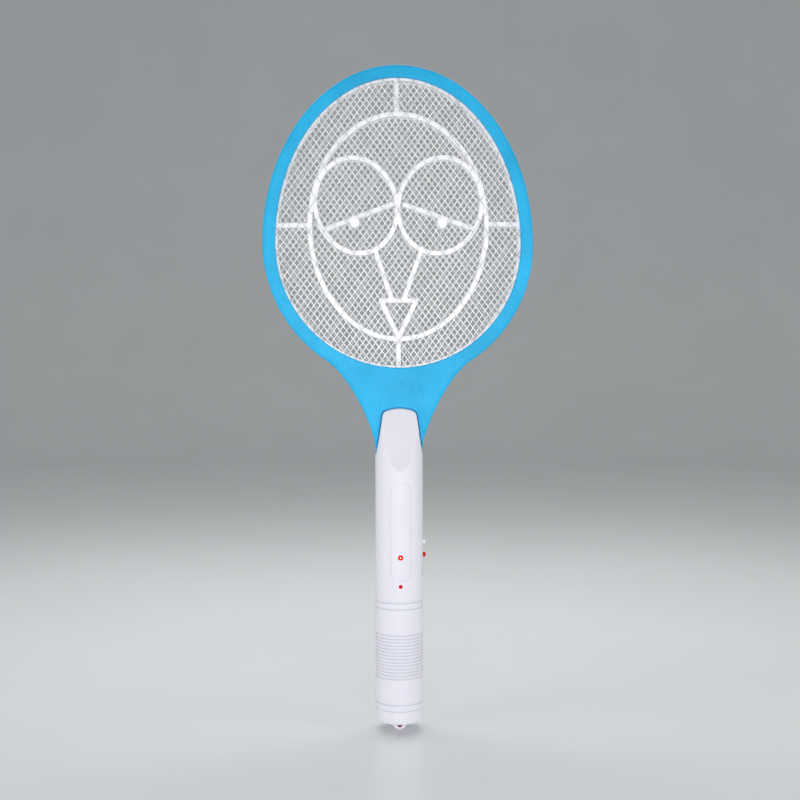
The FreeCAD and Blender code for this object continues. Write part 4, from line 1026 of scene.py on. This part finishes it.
def lamp_lens(name, centre, radius, tint, centre_glow_and_highlight, glow):
    """Tinted lens, darker towards its rim, whose emission has a centre of another colour on its axis: a lit
    lamp's glow, a painted highlight where that centre is warm white, and a painted glow where the lens
    holds no lamp.
    """
    look = Look(name)
    values = {0: look.coordinates, 1: tuple(part * MM for part in centre)}
    offset = look.node("ShaderNodeVectorMath", values, operation="SUBTRACT")
    scale = 1 / (radius * MM)
    values = {0: look.noise(900.0, 2.0), 1: 0.06, 2: look.distance(offset.outputs[0], (scale, 0.0, scale))}
    share = look.node("ShaderNodeMath", values, operation="MULTIPLY_ADD").outputs[0]
    body = [(0.0, shifted(tint, 0.7)), (0.75, shifted(tint, 0.7)), (1.0, shifted(tint, 0.5))]
    # Emission ramp: the lamp's red, with the given colour at the centre; warm white there is a painted
    # highlight.
    light = [(0.0, centre_glow_and_highlight), (0.18, centre_glow_and_highlight), (0.28, shifted(tint, 0.5)), (1.0, shifted(tint, 0.4))]
    look.surface(Base_Color=look.ramp(share, body), Emission_Color=look.ramp(share, light),
                 Emission_Strength=glow, Roughness=0.35, Specular_IOR_Level=0.1)


def circuit(name):
    """Green solder mask over copper tracks."""
    look = Look(name)
    values = {"Vector": look.coordinates, "Scale": 260.0, "Mortar Size": 0.03, "Color1": linear(18, 92, 48),
              "Color2": linear(24, 104, 54), "Mortar": linear(52, 140, 80)}
    bricks = look.node("ShaderNodeTexBrick", values, offset=0.5)
    look.surface(Base_Color=bricks.outputs["Color"], Roughness=look.spread(look.noise(500.0), 0.3, 0.42),
                 Normal=look.bump(bricks.outputs["Fac"], 0.00003, 0.5))


def banded(name, colour, band, scale, direction, roughness):
    """A wound or lacquered surface with bands across it."""
    look = Look(name)
    values = {"Vector": look.coordinates, "Scale": scale, "Distortion": 0.6}
    wave = look.node("ShaderNodeTexWave", values, wave_type="BANDS", bands_direction=direction)
    bands = wave.outputs["Fac"]
    look.surface(Base_Color=look.ramp(bands, [(0.2, band), (0.5, colour)]),
                 Roughness=look.spread(look.noise(600.0), roughness - 0.05, roughness + 0.08),
                 Normal=look.bump(bands, 0.00005, 0.5))


# Painted shade in the handle's grooves and on its scoop: heights as (from, to, strength), then the radius
# at and below which the painted shade is darkest, the one at which there is none, and by what share.
PAINTED_RECESS_SHADE = (((20.6, 22.4, 1.0), (39.5, 72.9, 1.0), (89.9, 96.4, 1.0), (190.0, 237.0, 0.45)),
         17.05, 17.45, 0.24)
# Plastics: name, colour, drift of the tone, roughness, grains per metre, grain depth in metres, extras.
moulded("blue_abs", linear(41, 179, 231), 0.14, 0.46, 2100.0, 0.00006, mottle=900.0, gloss=0.2)
# The handle plastic carries painted shade in its grooves and on its scoop.
moulded("white_abs", linear(227, 226, 236), 0.015, 0.46, 2600.0, 0.00003, gloss=0.35, recess_shade=PAINTED_RECESS_SHADE)
moulded("white_rib", linear(252, 252, 254), 0.008, 0.38, 2600.0, 0.00002)
metal("mesh_metal", linear(254, 254, 254), 0.55, shine=0.05)
metal("guard_metal", linear(206, 208, 214), 0.5, shine=0.15)
metal("nickel", linear(200, 196, 186), 0.3, stretch=(1.0, 1.0, 8.0))
metal("zinc_steel", linear(196, 198, 202), 0.32)
# Darker and bluer than the tin plate: painted shade of the port's recess with a painted bluish reflection.
metal("port_metal_painted_shade", linear(118, 124, 168), 0.45, stretch=(1.0, 6.0, 1.0), shine=0.6)
metal("tin_plate", linear(200, 202, 206), 0.28, stretch=(1.0, 6.0, 1.0))
moulded("red_abs", linear(200, 2, 4), 0.05, 0.4, 2600.0, 0.00002, gloss=0.2)
moulded("black_plastic", linear(34, 34, 37), 0.12, 0.5, 1800.0, 0.00006)
circuit("board")
moulded("ferrite", linear(52, 52, 55), 0.15, 0.62, 1500.0, 0.0001)
banded("winding_tape", linear(232, 196, 48), linear(206, 168, 36), 90.0, "Z", 0.34)
moulded("capacitor_case", linear(150, 66, 24), 0.1, 0.3, 900.0, 0.00006, coat=0.3)
moulded("disc_ceramic", linear(46, 96, 178), 0.1, 0.45, 1200.0, 0.00006)
banded("resistor_body", linear(196, 172, 128), linear(120, 60, 30), 260.0, "X", 0.35)
moulded("cell_sleeve", linear(36, 112, 86), 0.06, 0.26, 700.0, 0.00003, coat=0.3)
moulded("red_insulation", linear(190, 18, 20), 0.06, 0.42, 1400.0, 0.00003)
moulded("black_insulation", linear(26, 26, 28), 0.1, 0.42, 1400.0, 0.00003)


# ---- assembly ----

def place(item, slot, nodes, body="swatter", look=None):
    """Give a piece the slot's look or its own, put it on its body and hide the CAD nodes that it stands
    for.
    """
    item.data.materials.clear()
    item.data.materials.append(LOOKS[look or slot])
    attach(item, body)
    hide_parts(*nodes)


for side, word in SIDE_WORD.items():
    place(frame_shell(side), "blue_abs", ["frame_" + word])
    place(spacer(side), "white_rib", [word + "_spacer"])
    place(handle_shell(side), "white_abs", ["handle_" + word])
    guard = expanded_sheet("guard_mesh_" + word, pitch=(11.0, 16.0), strand=0.38, thickness=0.4,
                           twist=0.08, tilt=0.0, middle=4.6 * side, tab_x=7.0)
    place(guard, "mesh_metal", [word + "_mesh"], look="guard_metal")
live = expanded_sheet("live_mesh", pitch=(4.7, 6.3), strand=0.74, thickness=0.5,
                      twist=0.12, tilt=1.3, middle=0.0, tab_x=-7.0)
place(live, "mesh_metal", ["centre_mesh"])

place(end_cap(), "white_abs", ["end_cap"])
place(push_button(), "red_abs", ["trigger_button"], "button")
place(slide_knob(), "white_abs", ["switch_knob"], "slider")
# The port shell wears the painted-shade metal rather than plain tin plate.
place(port_shell(), "tin_plate", ["charging_socket"], look="port_metal_painted_shade")
head_screws = screws("head_screws", FRAME_SCREWS, seat=5.0, tip=4.8,
                     shank=0.95, head=1.78, height=1.4, cross=1.15)
grip_screws = screws("grip_screws", HANDLE_SCREWS, seat=10.0, tip=11.2,
                     shank=1.4, head=2.58, height=2.0, cross=1.7)
place(head_screws, "zinc_steel", ["frame_screws"])
place(grip_screws, "zinc_steel", ["handle_screws"])

# Warm white for the painted highlight that glows at the large indicator's centre.
WARM_HIGHLIGHT = linear(255, 240, 190)
LIT_RED = linear(222, 3, 18)
DARK_RED = linear(160, 2, 10)
large = dome("indicator_large", LARGE_LED_RADIUS, foot=6.1, rise=2.5, place=LARGE_LED, rim=0.4)
lamp_lens("large_lens", LARGE_LED, LARGE_LED_RADIUS, tint=LIT_RED, centre_glow_and_highlight=WARM_HIGHLIGHT, glow=1.6)
place(large, "red_lens", ["led_large"], look="large_lens")
small = dome("indicator_small", SMALL_LED_RADIUS, foot=3.8, rise=1.5, place=SMALL_LED, rim=0.4)
lamp_lens("small_lens", SMALL_LED, SMALL_LED_RADIUS, tint=LIT_RED, centre_glow_and_highlight=LIT_RED, glow=0.25)
place(small, "red_lens", ["led_small"], look="small_lens")
# The jewel holds no lamp: its faint dark red glow is painted light.
jewel = dome("jewel_lens", JEWEL_RADIUS, foot=1.81, rise=0.45, place=JEWEL)
lamp_lens("jewel_glass", JEWEL, JEWEL_RADIUS, tint=DARK_RED, centre_glow_and_highlight=DARK_RED, glow=0.02)
place(jewel, "red_lens", ["cap_jewel"], look="jewel_glass")

shown = {part["node"]: part["material_slot"] for part in frame["record"]["subparts"]}
for name, item in frame["nodes"].items():
    if not item.hide_render:
        item.data.materials.clear()
        item.data.materials.append(LOOKS[shown[name]])


# ---- stage, placed in metres ----

def studio():
    """A round pale floor that sweeps up into a wall on all sides."""
    floor_radius = 3.4
    bend = 1.3
    wall_top = 6.6
    profile = [(0.0, 0.02), (0.0, 1.0), (0.0, floor_radius)]
    for cosine, sine in quarter(13, 12)[1:]:
        profile.append((bend * (1 - cosine), floor_radius + bend * sine))
    profile.append((wall_top, floor_radius + bend))
    loops = [[(x / MM, y / MM, height / MM) for x, y in ring_points(radius, 96)]
             for height, radius in profile]
    sweep = shade(loft("studio_sweep", loops, lid=False), 60.0)
    look = Look("studio_paper")
    tone = look.ramp(look.noise(3.0), [(0.3, linear(242, 244, 245)), (0.7, linear(246, 248, 249))])
    look.surface(Base_Color=tone, Roughness=0.35)
    sweep.data.materials.append(LOOKS["studio_paper"])


def area_light(name, place_at, aim, size, energy, spread=180.0):
    """A soft rectangular light that may shine in a narrower cone; its energy is in watts."""
    data = bpy.data.lights.new(name, "AREA")
    data.shape = "RECTANGLE"
    data.size, data.size_y = size
    data.energy = energy
    data.spread = math.radians(spread)
    item = link(name, data)
    item.location = place_at
    item.rotation_mode = "QUATERNION"
    item.rotation_quaternion = (Vector(aim) - Vector(place_at)).to_track_quat("-Z", "Y")


studio()
area_light("front", (-0.1, -1.5, 0.24), (0.0, 0.0, 0.2), (1.4, 0.2), 1.8, 70.0)
area_light("head", (0.0, -1.6, 0.4), (0.0, 0.0, 0.42), (0.8, 0.2), 0.16, 40.0)
area_light("left", (-1.4, -0.75, 0.3), (0.0, 0.0, 0.1), (0.9, 0.3), 0.94, 60.0)
area_light("right", (1.4, -0.75, 0.3), (0.0, 0.0, 0.1), (0.9, 0.3), 0.9, 60.0)
area_light("wall", (0.0, 0.35, 1.5), (0.0, 1.6, 0.4), (1.6, 0.6), 5.2)
area_light("floor", (0.0, 0.45, 0.9), (0.0, 0.1, 0.0), (1.4, 0.6), 3.6)
world = bpy.data.worlds.new("studio")
world.use_nodes = True
world.node_tree.nodes["Background"].inputs["Color"].default_value = (1.0, 1.0, 1.0, 1.0)
world.node_tree.nodes["Background"].inputs["Strength"].default_value = 0.4
bpy.context.scene.world = world
bpy.context.scene.view_settings.view_transform = "Standard"

# The camera stands level in front, a little to the left, turned by PAN and tilted sideways by ROLL.
CAMERA_PLACE = (-0.0449, -0.7486, 0.2427)
PAN = math.radians(-3.5)
ROLL = math.radians(-0.14)
LEVEL = math.radians(90)
lens = bpy.data.cameras.new("camera")
lens.sensor_width = 36.0
lens.lens = 45.61
camera = link("camera", lens)
camera.matrix_world = (Matrix.Translation(CAMERA_PLACE) @ Matrix.Rotation(PAN, 4, "Z")
                       @ Matrix.Rotation(LEVEL, 4, "X") @ Matrix.Rotation(ROLL, 4, "Z"))
lens.clip_start = 0.05
lens.clip_end = 20.0
bpy.context.scene.camera = camera

bpy.context.view_layer.update()
